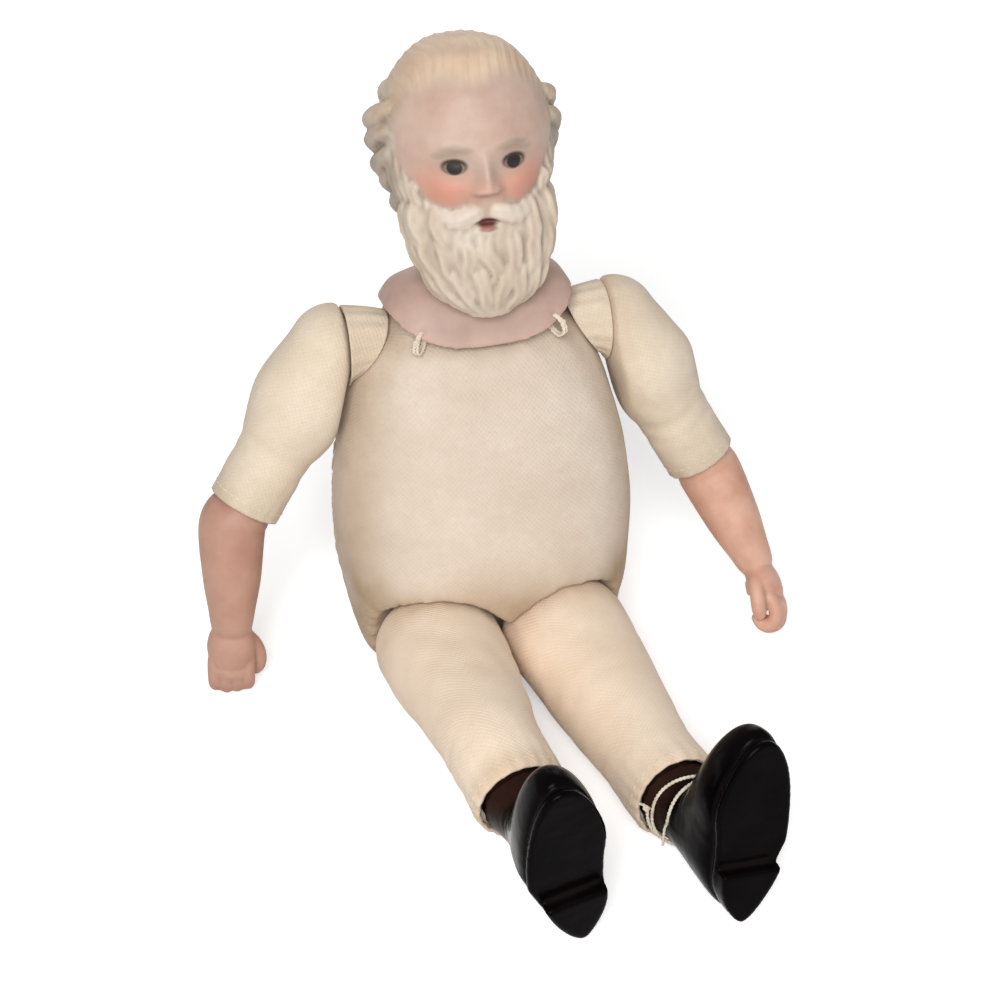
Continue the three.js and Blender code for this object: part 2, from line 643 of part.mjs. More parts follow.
for (const side of handSides) {
  const { name, sign } = side;
  const mirrored = (mesh) => {
    mesh.scale.copy(new THREE.Vector3(-sign, 1, 1));
    return mesh;
  };

  // The arm hangs from a flat gathered seam at the shoulder
  const place = armPlace(side);
  const intoArm = place.clone().invert();
  const seamFace = rod(armSeamRadius, 0, far).rotateY(sign * Math.PI / 2)
    .translate(0, spineAt(armHeight), armHeight);
  const armSeam = common(seamFace, armClearance(side, fitGap + armSeamThickness));
  doll.add(piece(`arm_seam_${name}`, cut(armSeam, armClearance(side, fitGap)), muslin, 0.95));

  const armOffset = 2 * fitGap + armSeamThickness;
  const clear = (grow) => armClearance(side, armOffset + grow).applyMatrix4(intoArm);
  const armOpening = rod(shoulderRadius * fillingShare, 0, far).rotateY(-sign * Math.PI / 2);
  const armInside = cut(upperArmForm(clothThickness), clear(clothThickness));
  const armCover = cut(upperArmForm(0), clear(0), armInside, armOpening);
  const armPadding = cut(upperArmForm(paddingInset), clear(paddingInset));
  const forearm = forearmForm();
  doll.add(groupAt(place,
    piece(`upper_arm_cover_${name}`, armCover, muslin, 0.95),
    piece(`upper_arm_stuffing_${name}`, armPadding, wadding, 1),
    groupAt(translation(0, 0, -upperArmLength).multiply(turnAboutZ(handTurn[name])),
      mirrored(piece(`forearm_${name}`, forearm.casting, fleshBisque, 0.5)),
      piece(`forearm_tie_${name}`, forearm.tie, thread, 0.9)),
    groupAt(translation(0, 0, -upperArmLength),
      piece(`arm_cuff_${name}`, cuff(elbowRadius, elbowReach, armCuffLength), muslin, 0.95))));

  // The leg lies out from its hip
  const boot = bootForm();
  const legOpening = rod(hipRadius * fillingShare, 0, far).rotateX(radians(45));
  const laces = name === 'left' ? [laceForm(boot.footFloor)] : [];
  doll.add(groupAt(legPlace(side),
    piece(`thigh_cover_${name}`, cut(thighForm(0), thighForm(clothThickness), legOpening), legMuslin, 0.95),
    piece(`thigh_stuffing_${name}`, thighForm(paddingInset), wadding, 1),
    groupAt(kneePlace(side),
      piece(`leg_cuff_${name}`, cuff(kneeRadius, kneeReach, legCuffLength), legMuslin, 0.95),
      piece(`boot_tie_${name}`, boot.tie, thread, 0.9),
      groupAt(turnAboutZ(sign * toesOut[name]),
        mirrored(piece(`boot_${name}`, boot.casting, bootGlaze, 0.2)),
        ...laces.map((lace) => mirrored(piece(`boot_lace_${name}`, lace, thread, 0.9)))))));
}

export default doll;
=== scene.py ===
import json
import math

import bpy
import numpy as np
from mathutils import Matrix, Vector
from mathutils.bvhtree import BVHTree
from mathutils.kdtree import KDTree


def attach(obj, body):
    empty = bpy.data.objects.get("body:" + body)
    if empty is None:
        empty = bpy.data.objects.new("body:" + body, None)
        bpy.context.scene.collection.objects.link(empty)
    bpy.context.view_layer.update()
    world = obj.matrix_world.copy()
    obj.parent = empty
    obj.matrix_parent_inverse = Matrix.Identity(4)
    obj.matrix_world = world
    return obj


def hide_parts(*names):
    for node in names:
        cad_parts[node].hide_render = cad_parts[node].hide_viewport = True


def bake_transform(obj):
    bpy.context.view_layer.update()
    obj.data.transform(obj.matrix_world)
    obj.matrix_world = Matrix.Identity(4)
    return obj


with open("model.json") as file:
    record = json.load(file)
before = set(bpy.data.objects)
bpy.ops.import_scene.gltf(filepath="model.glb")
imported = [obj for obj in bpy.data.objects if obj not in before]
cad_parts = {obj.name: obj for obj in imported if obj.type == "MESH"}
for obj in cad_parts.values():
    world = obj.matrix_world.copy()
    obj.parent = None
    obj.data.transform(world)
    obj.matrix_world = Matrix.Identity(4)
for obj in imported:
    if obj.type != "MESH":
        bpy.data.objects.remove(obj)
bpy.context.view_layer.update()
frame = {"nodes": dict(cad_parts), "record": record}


# ---- Muslin body ----
# The trunk: a front and a back panel of plain-woven cotton muslin, sewn up the sides and stuffed hard with
# cotton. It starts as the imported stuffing, is remeshed finely and puffed up by cloth pressure.

def linear(hex_colour):
    """An sRGB hex colour as the linear colour that a shader takes."""
    values = [int(hex_colour[i:i + 2], 16) / 255 for i in (1, 3, 5)]
    return [v / 12.92 if v <= 0.04045 else ((v + 0.055) / 1.055) ** 2.4 for v in values] + [1]


def node(tree, kind, inputs=None, **settings):
    """Adds a node. Its inputs are values, or outputs of other nodes to link."""
    made = tree.nodes.new(kind)
    for name, value in settings.items():
        setattr(made, name, value)
    for socket, value in (inputs or {}).items():
        if isinstance(value, bpy.types.NodeSocket):
            tree.links.new(value, made.inputs[socket])
        else:
            made.inputs[socket].default_value = value
    return made.outputs


def layered(tree, tint, *layers):
    """Colours laid over a first one, each by its share. They are hex values or outputs of other nodes."""
    for share, over in layers:
        first, second = [linear(colour) if isinstance(colour, str) else colour for colour in (tint, over)]
        tint = node(tree, "ShaderNodeMix", {"Factor": share, "A": first, "B": second},
                    data_type="RGBA")["Result"]
    return tint


def pattern(tree, at, scale, detail, low, high, most=1.0, **settings):
    """A noise, and with it its rise from 0 at low to most at high. Its scale is per metre."""
    noise = node(tree, "ShaderNodeTexNoise",
                 {"Vector": at, "Scale": scale, "Detail": detail, **settings})["Fac"]
    risen = node(tree, "ShaderNodeMapRange",
                 {"Value": noise, "From Min": low, "From Max": high, "To Max": most})[0]
    return noise, risen


def shader(name, finish, colour_of, **constants):
    """A material. Its colour, roughness and bump come from colour_of, its other values are constants."""
    made = bpy.data.materials.new(name)
    made.use_nodes = True
    tree = made.node_tree
    surface = tree.nodes["Principled BSDF"]
    for socket, value in constants.items():
        surface.inputs[socket].default_value = value
    for socket, output in colour_of(tree).items():
        tree.links.new(output, surface.inputs[socket])
    made["finish"] = finish
    return made


def muslin(name, pale, deep, soil_colour):
    """Plain-woven unbleached cotton. The real threads are about 0.35 mm apart, too fine to show here, so
    they are drawn 0.75 mm apart. Slow stains 20 mm across and finer mottling age it, and a darker tone is
    laid where the soil attribute says: dirt in the seams and at the hems, and painted shade in
    creases, under the plate, where limbs meet the body, low down and towards the sides."""
    thread_gap, waver = 0.00075, 0.0011

    def colour_of(tree):
        at, facing = [node(tree, "ShaderNodeAttribute", attribute_name=name)["Vector"]
                      for name in ("own_place", "facing")]
        soil = node(tree, "ShaderNodeAttribute", attribute_name="soil")["Fac"]
        wavy = node(tree, "ShaderNodeTexNoise", {"Vector": at, "Scale": 160.0, "Detail": 2.0})["Color"]
        bent = node(tree, "ShaderNodeVectorMath", {0: wavy, "Scale": waver}, operation="SCALE")[0]
        threads = node(tree, "ShaderNodeVectorMath", {0: at, 1: bent}, operation="ADD")[0]
        turns = node(tree, "ShaderNodeVectorMath", {0: threads, "Scale": math.pi / thread_gap},
                     operation="SCALE")[0]
        waves = node(tree, "ShaderNodeSeparateXYZ",
                     {0: node(tree, "ShaderNodeVectorMath", {0: turns}, operation="SINE")[0]})
        first, second = [node(tree, "ShaderNodeCombineXYZ", {k: waves[(k + ahead) % 3] for k in range(3)})[0]
                         for ahead in (1, 2)]
        crossed = node(tree, "ShaderNodeVectorMath", {0: first, 1: second}, operation="MULTIPLY")[0]
        shares = node(tree, "ShaderNodeVectorMath", {0: facing, 1: facing}, operation="MULTIPLY")[0]
        weave = node(tree, "ShaderNodeVectorMath", {0: crossed, 1: shares}, operation="DOT_PRODUCT")["Value"]
        stain, stained = pattern(tree, at, scale=48.0, detail=4.0, low=0.36, high=0.68, most=0.75,
                                 Roughness=0.55)
        mottle, mottled = pattern(tree, at, scale=420.0, detail=3.0, low=0.3, high=0.75, most=0.35,
                                  Roughness=0.6)
        # the darker tone of dirt and of painted shade, laid unevenly where the attribute says
        soiled = node(tree, "ShaderNodeMath", {0: soil, 1: stain}, operation="MULTIPLY", use_clamp=True)[0]
        soiled = node(tree, "ShaderNodeMath", {0: soiled, 1: 1.5}, operation="MULTIPLY", use_clamp=True)[0]
        woven = node(tree, "ShaderNodeMapRange", {"Value": weave, "From Min": -1.0, "To Max": 0.12})[0]
        relief = node(tree, "ShaderNodeMath", {0: weave, 1: mottle}, operation="ADD")[0]
        bump = node(tree, "ShaderNodeBump",
                    {"Height": relief, "Strength": 0.5, "Distance": 0.00012})["Normal"]
        return {"Normal": bump, "Base Color": layered(
            tree, pale, (stained, deep), (mottled, deep), (soiled, soil_colour), (woven, soil_colour))}

    return shader(name, "plain-woven cotton muslin", colour_of, **{
        "Roughness": 0.92, "Specular IOR Level": 0.25, "Sheen Weight": 0.12, "Sheen Roughness": 0.5})


def along(sections, share):
    """Sizes between evenly spaced sections, read along smooth curves at shares of the way up."""
    table = np.array(sections, float)
    last = len(table) - 1
    place = np.clip(np.asarray(share, float), 0, 1) * last
    low = np.minimum(place.astype(int), last - 1)
    t = (place - low)[..., None]
    p0, p1 = table[np.maximum(low - 1, 0)], table[low]
    p2, p3 = table[low + 1], table[np.minimum(low + 2, last)]
    v0, v1 = (p2 - p0) / 2, (p3 - p1) / 2
    return (2 * p1 - 2 * p2 + v0 + v1) * t ** 3 + (-3 * p1 + 3 * p2 - 2 * v0 - v1) * t ** 2 + v0 * t + p1


def step(low, high, value):
    """From 0 at low to 1 at high, with soft ends."""
    t = np.clip((value - low) / (high - low), 0, 1)
    return t * t * (3 - 2 * t)


def lumps(points, size, seed):
    """Soft random unevenness between -1 and 1, with hollows about one size apart."""
    rng = np.random.default_rng(seed)
    total = np.zeros(len(points))
    for _ in range(10):
        way = rng.normal(size=3)
        way *= 2 * math.pi / size / np.linalg.norm(way) * rng.uniform(0.6, 1.3)
        total += np.sin(points @ way + rng.uniform(0, 2 * math.pi))
    return total / 4.5


def shown(name, data):
    """A new object in the scene, made of a mesh, a curve, a lamp or a camera."""
    made = bpy.data.objects.new(name, data)
    bpy.context.scene.collection.objects.link(made)
    return made


def piece(name, points, faces):
    """A new object from points in millimetres, shaded smooth."""
    mesh = bpy.data.meshes.new(name)
    mesh.from_pydata((np.asarray(points, float) * 0.001).tolist(), [], [list(map(int, f)) for f in faces])
    mesh.validate()
    mesh.shade_smooth()
    return shown(name, mesh)


def points_of(made):
    """The points of an object in millimetres."""
    flat = np.empty(len(made.data.vertices) * 3)
    made.data.vertices.foreach_get("co", flat)
    return flat.reshape(-1, 3) * 1000


def move_points(made, points):
    made.data.vertices.foreach_set("co", (points * 0.001).ravel())
    made.data.update()


def normals_of(made):
    flat = np.empty(len(made.data.vertices) * 3)
    made.data.vertices.foreach_get("normal", flat)
    return flat.reshape(-1, 3)


def plain_mesh(made):
    """The object's mesh as its modifiers leave it, shaded smooth and named after the object."""
    result = bpy.data.meshes.new_from_object(made.evaluated_get(bpy.context.evaluated_depsgraph_get()))
    result.name = made.name
    result.shade_smooth()
    made.modifiers.clear()
    return result


def shaped(made, kind, **settings):
    """Puts the object through one modifier with the given settings."""
    modifier = made.modifiers.new(kind.lower(), kind)
    for name, value in settings.items():
        setattr(modifier, name, value)
    made.data = plain_mesh(made)


def remesh(made, voxel, smoothing):
    """One closed skin over everything in the mesh, softened by some passes of smoothing."""
    shaped(made, "REMESH", mode="VOXEL", voxel_size=voxel * 0.001)
    shaped(made, "SMOOTH", factor=0.5, iterations=smoothing)


def finer(made):
    shaped(made, "SUBSURF", levels=1, render_levels=1)


def plump(made, cap, held):
    """Stuffs a closed skin: air pressure inside cloth, with the held points pinned and a cap on movement."""
    before = points_of(made)
    pins = made.vertex_groups.new(name="pins")
    pins.add([int(i) for i in np.nonzero(held)[0]], 1.0, "REPLACE")
    cloth = made.modifiers.new("cloth", "CLOTH")
    settings = cloth.settings
    settings.quality = 6
    settings.use_pressure = True
    settings.uniform_pressure_force = 4.0
    settings.tension_stiffness = settings.compression_stiffness = 12
    settings.bending_stiffness = 0.3
    settings.vertex_group_mass = "pins"
    settings.effector_weights.gravity = 0
    cloth.collision_settings.use_collision = False
    scene = bpy.context.scene
    for number in range(1, 21):
        scene.frame_set(number)
    made.data = plain_mesh(made)
    scene.frame_set(1)
    shift = points_of(made) - before
    length = np.linalg.norm(shift, axis=1, keepdims=True)
    move_points(made, before + shift * np.minimum(1, cap / np.maximum(length, 1e-9)))


def moved(points, place):
    """Points of a place's own frame, in the shared frame."""
    matrix = np.array(place)
    return np.asarray(points) @ matrix[:3, :3].T + matrix[:3, 3]


def give(made, place, **values):
    """Stores for the material each point's place in the piece's own frame, and other values from 0 to 1."""
    values["own_place"] = moved(points_of(made), place.inverted()) * 0.001
    for name, value in values.items():
        kind, field = ("FLOAT_VECTOR", "vector") if np.ndim(value) == 2 else ("FLOAT", "value")
        made.data.attributes.new(name, kind, "POINT").data.foreach_set(field, np.ravel(value))


def give_grain(made, place, soil):
    """Stores for the weave each point's place and facing in the piece's own frame, and how much dirt
    and painted shade darken it.
    """
    give(made, place, facing=normals_of(made) @ np.array(place.to_3x3()), soil=np.clip(soil, 0, 1))


def at_mm(x, y, z):
    return Matrix.Translation((x, y, z))


def turn(degrees, axis):
    return Matrix.Rotation(math.radians(degrees), 4, axis)


spine = math.tan(math.radians(8))
body_square = 2.4
body_sections = [(0, 33, 27), (14, 41.5, 31), (50, 47, 35), (86, 42, 30), (112, 30, 21), (127, 15, 7)]
plate_place = at_mm(0, 15, 120) @ turn(-4, "X") @ turn(-2, "Y")
spots = {j["name"]: np.array(j["pos_m"]) * 1000 for j in frame["record"]["behaviour"]["joints"]}
hip_radius, thigh_radius, knee_radius, thigh_length = 17.2, 16.3, 14.0, 67
# each leg's name and side, how far it turns out and lies above level, and its shin's fall and turn (degrees)
leg_sides = (("right", -1, 1.6, 6.33, 10, 7), ("left", 1, 6, -2.74, 0, 4))
hips = {name: at_mm(*spots[f"hip_{name}"]) @ turn(outwards, "Z") @ turn(-90 - above_level, "X")
        for name, _, outwards, above_level, _, _ in leg_sides}


def broader(from_hip):
    """How much broader than high a thigh is: most at the hip, and round at the knee."""
    hip_broad = 1.15
    return 1 + (hip_broad - 1) * np.clip((thigh_length - from_hip) / (thigh_length - hip_radius), 0, 1)


def close_round_leg(points, outward, hip):
    """Cloth round the mouth of a leg's hollow, drawn in to the thigh's upper side as it lies at rest."""
    left_open = 1.2
    local = moved(points, hip.inverted())
    from_hip = -local[:, 2]
    high = np.interp(from_hip, (0, thigh_length / 3, thigh_length), (hip_radius, thigh_radius, knee_radius))
    wide = high * broader(from_hip)
    behind = np.maximum(0, -from_hip)
    gap = (np.sqrt((local[:, 0] / wide) ** 2 + (local[:, 1] / high) ** 2 + (behind / high) ** 2) - 1) * high
    away = np.column_stack([local[:, 0] / wide ** 2, local[:, 1] / high ** 2, behind / high ** 2])
    away /= np.linalg.norm(away, axis=1)[:, None] + 1e-9
    away = away @ np.array(hip.to_3x3()).T
    facing_leg = step(-0.1, 0.4, -np.sum(away * outward, axis=1))
    share = facing_leg * (1 - step(11, 16, gap)) * step(-17, -12, from_hip) * (1 - step(2, 8, local[:, 1]))
    return points - away * (np.maximum(0, gap - left_open) * share)[:, None]


body_muslin = muslin("body_muslin", "#E2D3C3", "#D2C0AE", "#A98E6E")
body = shown("body_muslin_skin", frame["nodes"]["body_stuffing"].data.copy())
shaped(body, "WELD", merge_threshold=0.00002)
remesh(body, voxel=2.0, smoothing=6)

body_table = along(body_sections, np.linspace(0, 1, 600))


def body_at(height):
    """The body's half width and half depth at a height."""
    return [np.interp(height, body_table[:, 0], body_table[:, k]) for k in (1, 2)]


# the skin is filled out to the smooth form of the body, and sits flat on the ground
trunk = points_of(body)
half_width, half_depth = body_at(trunk[:, 2])
forward = trunk[:, 1] - trunk[:, 2] * spine
fullness = (np.abs(trunk[:, 0] / half_width) ** body_square
            + np.abs(forward / half_depth) ** body_square) ** (1 / body_square)
outside = step(0.86, 0.93, fullness) * step(1, 6, trunk[:, 2]) * (1 - step(112, 118, trunk[:, 2]))
grow = 1 + outside * (1 / np.maximum(fullness, 0.5) - 1)
trunk[:, 0] *= grow
trunk[:, 1] = forward * grow + trunk[:, 2] * spine
seat_drop, pinned_above = 1.4, 30
trunk[:, 2] -= seat_drop * (1 - step(1.5, 5, trunk[:, 2]))
move_points(body, trunk)
plump(body, cap=1.1, held=(outside < 0.2) & (trunk[:, 2] > pinned_above))
trunk, outward = points_of(body), normals_of(body)
for hip in hips.values():
    trunk = close_round_leg(trunk, outward, hip)
move_points(body, trunk)
shaped(body, "SMOOTH", factor=0.5, iterations=3)
finer(body)

# the panels' side seams pull in, with small puckers to each side, and the stuffing leaves slow lumps
seam_back, seam_half, pucker_reach, pucker_gap = 8, 1.1, 4.5, 5.2
trunk, outward = points_of(body), normals_of(body)
x, y, z = trunk.T
from_seam = (y - seam_back) - z * spine
side = step(14, 26, np.abs(x))
groove = np.exp(-(from_seam / seam_half) ** 2) * side
pucker = np.exp(-(from_seam / pucker_reach) ** 2) * side \
    * np.sin(z * 2 * math.pi / pucker_gap + 0.8 * np.sin(z / 7))
raised = 0.45 * lumps(trunk, size=34, seed=3) + 0.18 * lumps(trunk, size=13, seed=4) \
    - 0.75 * groove + 0.22 * pucker
neck_folds, neck_middle = 15, 15
raised += 0.25 * np.sin(np.arctan2(x, neck_middle - y) * neck_folds) * step(98, 110, z)
# how near the floor each point is, and how high it is under the plate, where painted shade is laid
near_floor, shade_under_plate = 1 - step(0.5, 4, z), step(104, 112, z)
trunk = trunk + outward * (raised * (1 - near_floor))[:, None]
trunk[:, 2] = np.maximum(trunk[:, 2], 0.05)

# under the plate the cloth is pressed down where it would come through, and raised at the sides, where it
# would leave a gap, but not beside the gussets
plate_half_width, plate_half_depth, clearance = 30.5, 23, 0.4
into_plate = moved(trunk, plate_place.inverted())
x, y, z = into_plate.T
reach = (np.abs(x / plate_half_width) ** 3 + np.abs(y / plate_half_depth) ** 3) ** (1 / 3)
facing_out = np.sin(np.arctan2(y, x)) ** 2
under = np.interp(reach, [0.45, 0.82, 0.97, 1.1], [6.5, 2.6, -0.9, -0.9]) \
    - facing_out * np.interp(reach, [0.45, 0.82, 1.0], [2, 7, 10])
lower = 1 - step(1.0, 1.1, reach)
gap = under - clearance - z
by_gusset = step(20, 23, np.abs(x)) * (1 - step(12, 15, np.abs(y)))
fill = step(0.4, 0.5, reach) * (1 - step(0.9, 1.0, reach)) * (1 - step(3, 9, gap)) * (1 - by_gusset) \
    * (1 - step(0.45, 0.8, facing_out))
into_plate[:, 2] = np.where(z > under, z * (1 - lower) + under * lower, z + np.maximum(0, gap) * fill)
trunk = moved(into_plate, plate_place)
move_points(body, trunk)

# painted shade darkens the cloth in the crease over the legs, under the plate, low down and towards the
# sides, and soil lies in the seams
x, y, z = trunk.T
lap_height, lap_reach = 33, 7
lap_shade = np.exp(-((z - lap_height) / lap_reach) ** 2) * (1 - step(-16, 0, y))
shade_low_and_sides = 0.5 * (1 - step(8, 55, z)) + 0.5 * step(0.66, 0.98, np.abs(x) / body_at(z)[0])
give_grain(body, Matrix.Identity(4), 0.55 * lap_shade + 0.5 * groove + 0.35 * shade_under_plate + shade_low_and_sides)
body.data.materials.clear()
body.data.materials.append(body_muslin)
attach(body, "torso")
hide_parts("body_front_panel", "body_back_panel", "body_stuffing")


# ---- Cloth legs ----
# Each leg is one tube of peach-cream muslin, sewn to the front of the seat, stuffed, and gathered in over the
# top of its boot. The tube bends at the knee, so its skin turns smoothly from thigh to boot.

def ring_faces(count, sides):
    """Four-sided faces between rings of points that follow each other."""
    i, j = np.meshgrid(np.arange(count - 1), np.arange(sides), indexing="ij")
    right = (j + 1) % sides
    return np.stack([i * sides + j, i * sides + right, (i + 1) * sides + right, (i + 1) * sides + j],
                    axis=-1).reshape(-1, 4).tolist()


def stacked(name, rings, poles=None, closed=True):
    """A skin over rings of points, drawn together to a pole at its start, and at its end if closed."""
    count, sides = rings.shape[:2]
    start, end = (rings[0].mean(axis=0), rings[-1].mean(axis=0)) if poles is None else poles
    first, last = count * sides, (count - 1) * sides
    faces = ring_faces(count, sides) + [(first, (k + 1) % sides, k) for k in range(sides)]
    points = np.vstack([rings.reshape(-1, 3), start])
    if closed:
        faces += [(first + 1, last + k, last + (k + 1) % sides) for k in range(sides)]
        points = np.vstack([points, end])
    return piece(name, points, faces)


def across(line, side):
    """Two directions across a line at each of its points, the first as near as it can be to side."""
    side = np.asarray(side, float)
    ways = np.gradient(line, axis=0)
    ways /= np.linalg.norm(ways, axis=1, keepdims=True)
    level = side - (ways @ side)[:, None] * ways
    level /= np.linalg.norm(level, axis=1, keepdims=True)
    return level, np.cross(ways, level)


def tube(name, centres, side, broad, deep, sides, closed=True):
    """A round skin about a line of centres. Its half sizes are broad along side, and deep across it."""
    centres = np.asarray(centres, float)
    level, other = across(centres, side)
    angle = np.linspace(0, 2 * math.pi, sides, endpoint=False)
    broad, deep = [np.broadcast_to(half, len(centres))[:, None] for half in (broad, deep)]
    rings = (centres[:, None] + level[:, None] * (broad * np.cos(angle))[..., None]
             + other[:, None] * (deep * np.sin(angle))[..., None])
    return stacked(name, rings, (centres[0], centres[-1]), closed)


def softened(line, window):
    """A line of points with its corners rounded over a window of points."""
    line = np.asarray(line, float)
    before = line[0] + (line[0] - line[1]) * np.arange(window, 0, -1)[:, None]
    after = line[-1] + (line[-1] - line[-2]) * np.arange(1, window + 1)[:, None]
    padded = np.vstack([before, line, after])
    weights = np.ones(2 * window + 1) / (2 * window + 1)
    return np.column_stack([np.convolve(padded[:, k], weights, "valid") for k in range(3)])


def turned(place, way):
    """A direction of a place's own frame, in the shared frame."""
    return np.array(place.to_3x3() @ Vector(way))


def domed(radii, reach, radius):
    """Radii down a limb, with those above its joint, where reach is under 0, rounded off like a ball."""
    return np.where(reach < 0, np.sqrt(np.maximum(0, radius ** 2 - np.minimum(reach, 0) ** 2)), radii)


def walled(made, thickness):
    """Gives an open skin the thickness of its cloth, inwards."""
    shaped(made, "SOLIDIFY", thickness=thickness * 0.001, offset=-1)


def tie_off(made, line, near, count, depth, reach, phase):
    """Gathers a skin in soft pleats about a line, strongest at the distances along it given by near."""
    points = points_of(made)
    origin, way = line
    side = np.cross(way, (0, 0, 1.0))
    side /= np.linalg.norm(side)
    up = np.cross(way, side)
    s = (points - origin) @ way
    angle = np.arctan2((points - origin) @ up, (points - origin) @ side)
    fade = np.exp(-np.abs(s - near) / reach)
    wave = np.sin(angle * count + phase + 1.3 * np.sin(angle * 3 + phase))
    move_points(made, points + normals_of(made) * (depth * fade * wave)[:, None])


leg_hem, cloth_wall = 21, 0.9
leg_muslin = muslin("leg_muslin", "#FAE7D1", "#F1D9BF", "#BE9E7C")
knee_places = {}
for name, sign, _, above_level, fall, shin in leg_sides:
    hip, hip_point, knee_point = hips[name], spots[f"hip_{name}"], spots[f"knee_{name}"]
    knee = hip @ at_mm(0, 0, -thigh_length) @ turn(above_level + fall, "X") @ turn(-shin, "Y")
    knee_places[name] = knee
    thigh_way, shin_way = turned(hip, (0, 0, -1)), turned(knee, (0, 0, -1))
    cap = -hip_radius * np.cos(np.linspace(0.06, math.pi / 2, 14)[:-1])
    end = thigh_length + leg_hem
    reach = np.concatenate([cap, np.arange(0, end + 0.1, 1.6)])
    on_thigh = moved(np.column_stack([0 * reach, 0 * reach, -reach]), hip)
    on_shin = moved(np.column_stack([0 * reach, 0 * reach, thigh_length - reach]), knee)
    centres = np.where((reach <= thigh_length)[:, None], on_thigh, on_shin)
    centres[len(cap):] = softened(centres[len(cap):], window=5)
    radii = along([(knee_radius,), ((knee_radius + thigh_radius) / 2,), (thigh_radius,), (hip_radius,)],
                  np.clip(1 - reach / thigh_length, 0, 1))[:, 0]
    radii = domed(radii, reach, hip_radius) - 0.75 * step(end - 3, end, reach) ** 2
    leg = tube(f"leg_muslin_{name}", centres, turned(hip, (1, 0, 0)), radii * broader(reach), radii,
               sides=72, closed=False)
    from_hip = (points_of(leg) - hip_point) @ thigh_way
    plump(leg, cap=0.8, held=(from_hip > end - 4) | (from_hip < 2))

    # it is lumpy between its ends, creased behind the knee and drawn in at the seam with the seat
    points, outward = points_of(leg), normals_of(leg)
    middle = step(4, 20, from_hip) * (1 - step(end - 12, end - 4, from_hip))
    crumple = np.sin(from_hip * 2 * math.pi / 7 + 1.5 * np.sin(points[:, 0] / 5)) \
        * np.exp(-((from_hip - thigh_length) / 7) ** 2) * (0.5 - 0.5 * outward[:, 2])
    from_middle = points - centres[20]
    sewn = np.exp(-np.abs(from_hip - 3) / 7) * np.sin(np.arctan2(from_middle[:, 2], from_middle[:, 0]) * 17)
    lumpy = middle * (0.5 * lumps(points, 30, 11 + sign) + 0.2 * lumps(points, 11, 21 + sign))
    move_points(leg, points + outward * (lumpy + 0.35 * crumple + 0.2 * sewn)[:, None])
    tie_off(leg, (knee_point, shin_way), leg_hem, count=19, depth=0.38, reach=7, phase=sign)
    points = points_of(leg)
    points[:, 2] = np.maximum(points[:, 2], 0.4)
    move_points(leg, points)
    finer(leg)
    walled(leg, cloth_wall)
    points = points_of(leg)
    from_hip = (points - hip_point) @ thigh_way
    # painted shade where the leg runs in under the seat and on its inner side near the floor, and dirt at the
    # hem
    by_hem, shade_by_seat = step(end - 7, end + 1, from_hip), 1 - step(2, 14, from_hip)
    shade_between_legs = step(2, 16, -sign * (points[:, 0] - centres[30][0])) * (1 - step(2, 14, points[:, 2]))
    give_grain(leg, hip, 0.4 * by_hem + 0.4 * shade_by_seat + 0.35 * shade_between_legs)
    leg.data.materials.append(leg_muslin)
    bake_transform(leg)
    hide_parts(f"thigh_cover_{name}", f"thigh_stuffing_{name}", f"leg_cuff_{name}")


# ---- Cloth arms ----
# Each arm is a stuffed tube of cream muslin, flattened and gathered where it is sewn to the shoulder, with a
# hem that ends over the bisque forearm. A small gathered tab of the same cloth joins it to the body.

arm_muslin = muslin("arm_muslin", "#E8D9C5", "#DAC7AE", "#A88F70")
shoulder_radius, arm_radius, elbow_radius, arm_length, arm_hem = 13.5, 15.8, 11.3, 38, 18
arm_gap, tab_radius, gusset_radius = 0.3, 12.4, 10
body_reach = np.maximum.accumulate(body_table[::-1, 1])[::-1]


def beside_body(distance, offset):
    """How far out the arm's inner face lies, at a distance from the shoulder's own turning line."""
    shoulder_height = spots["arm_swing_right"][2]
    return np.interp(shoulder_height - distance, body_table[:, 0], body_reach) + offset
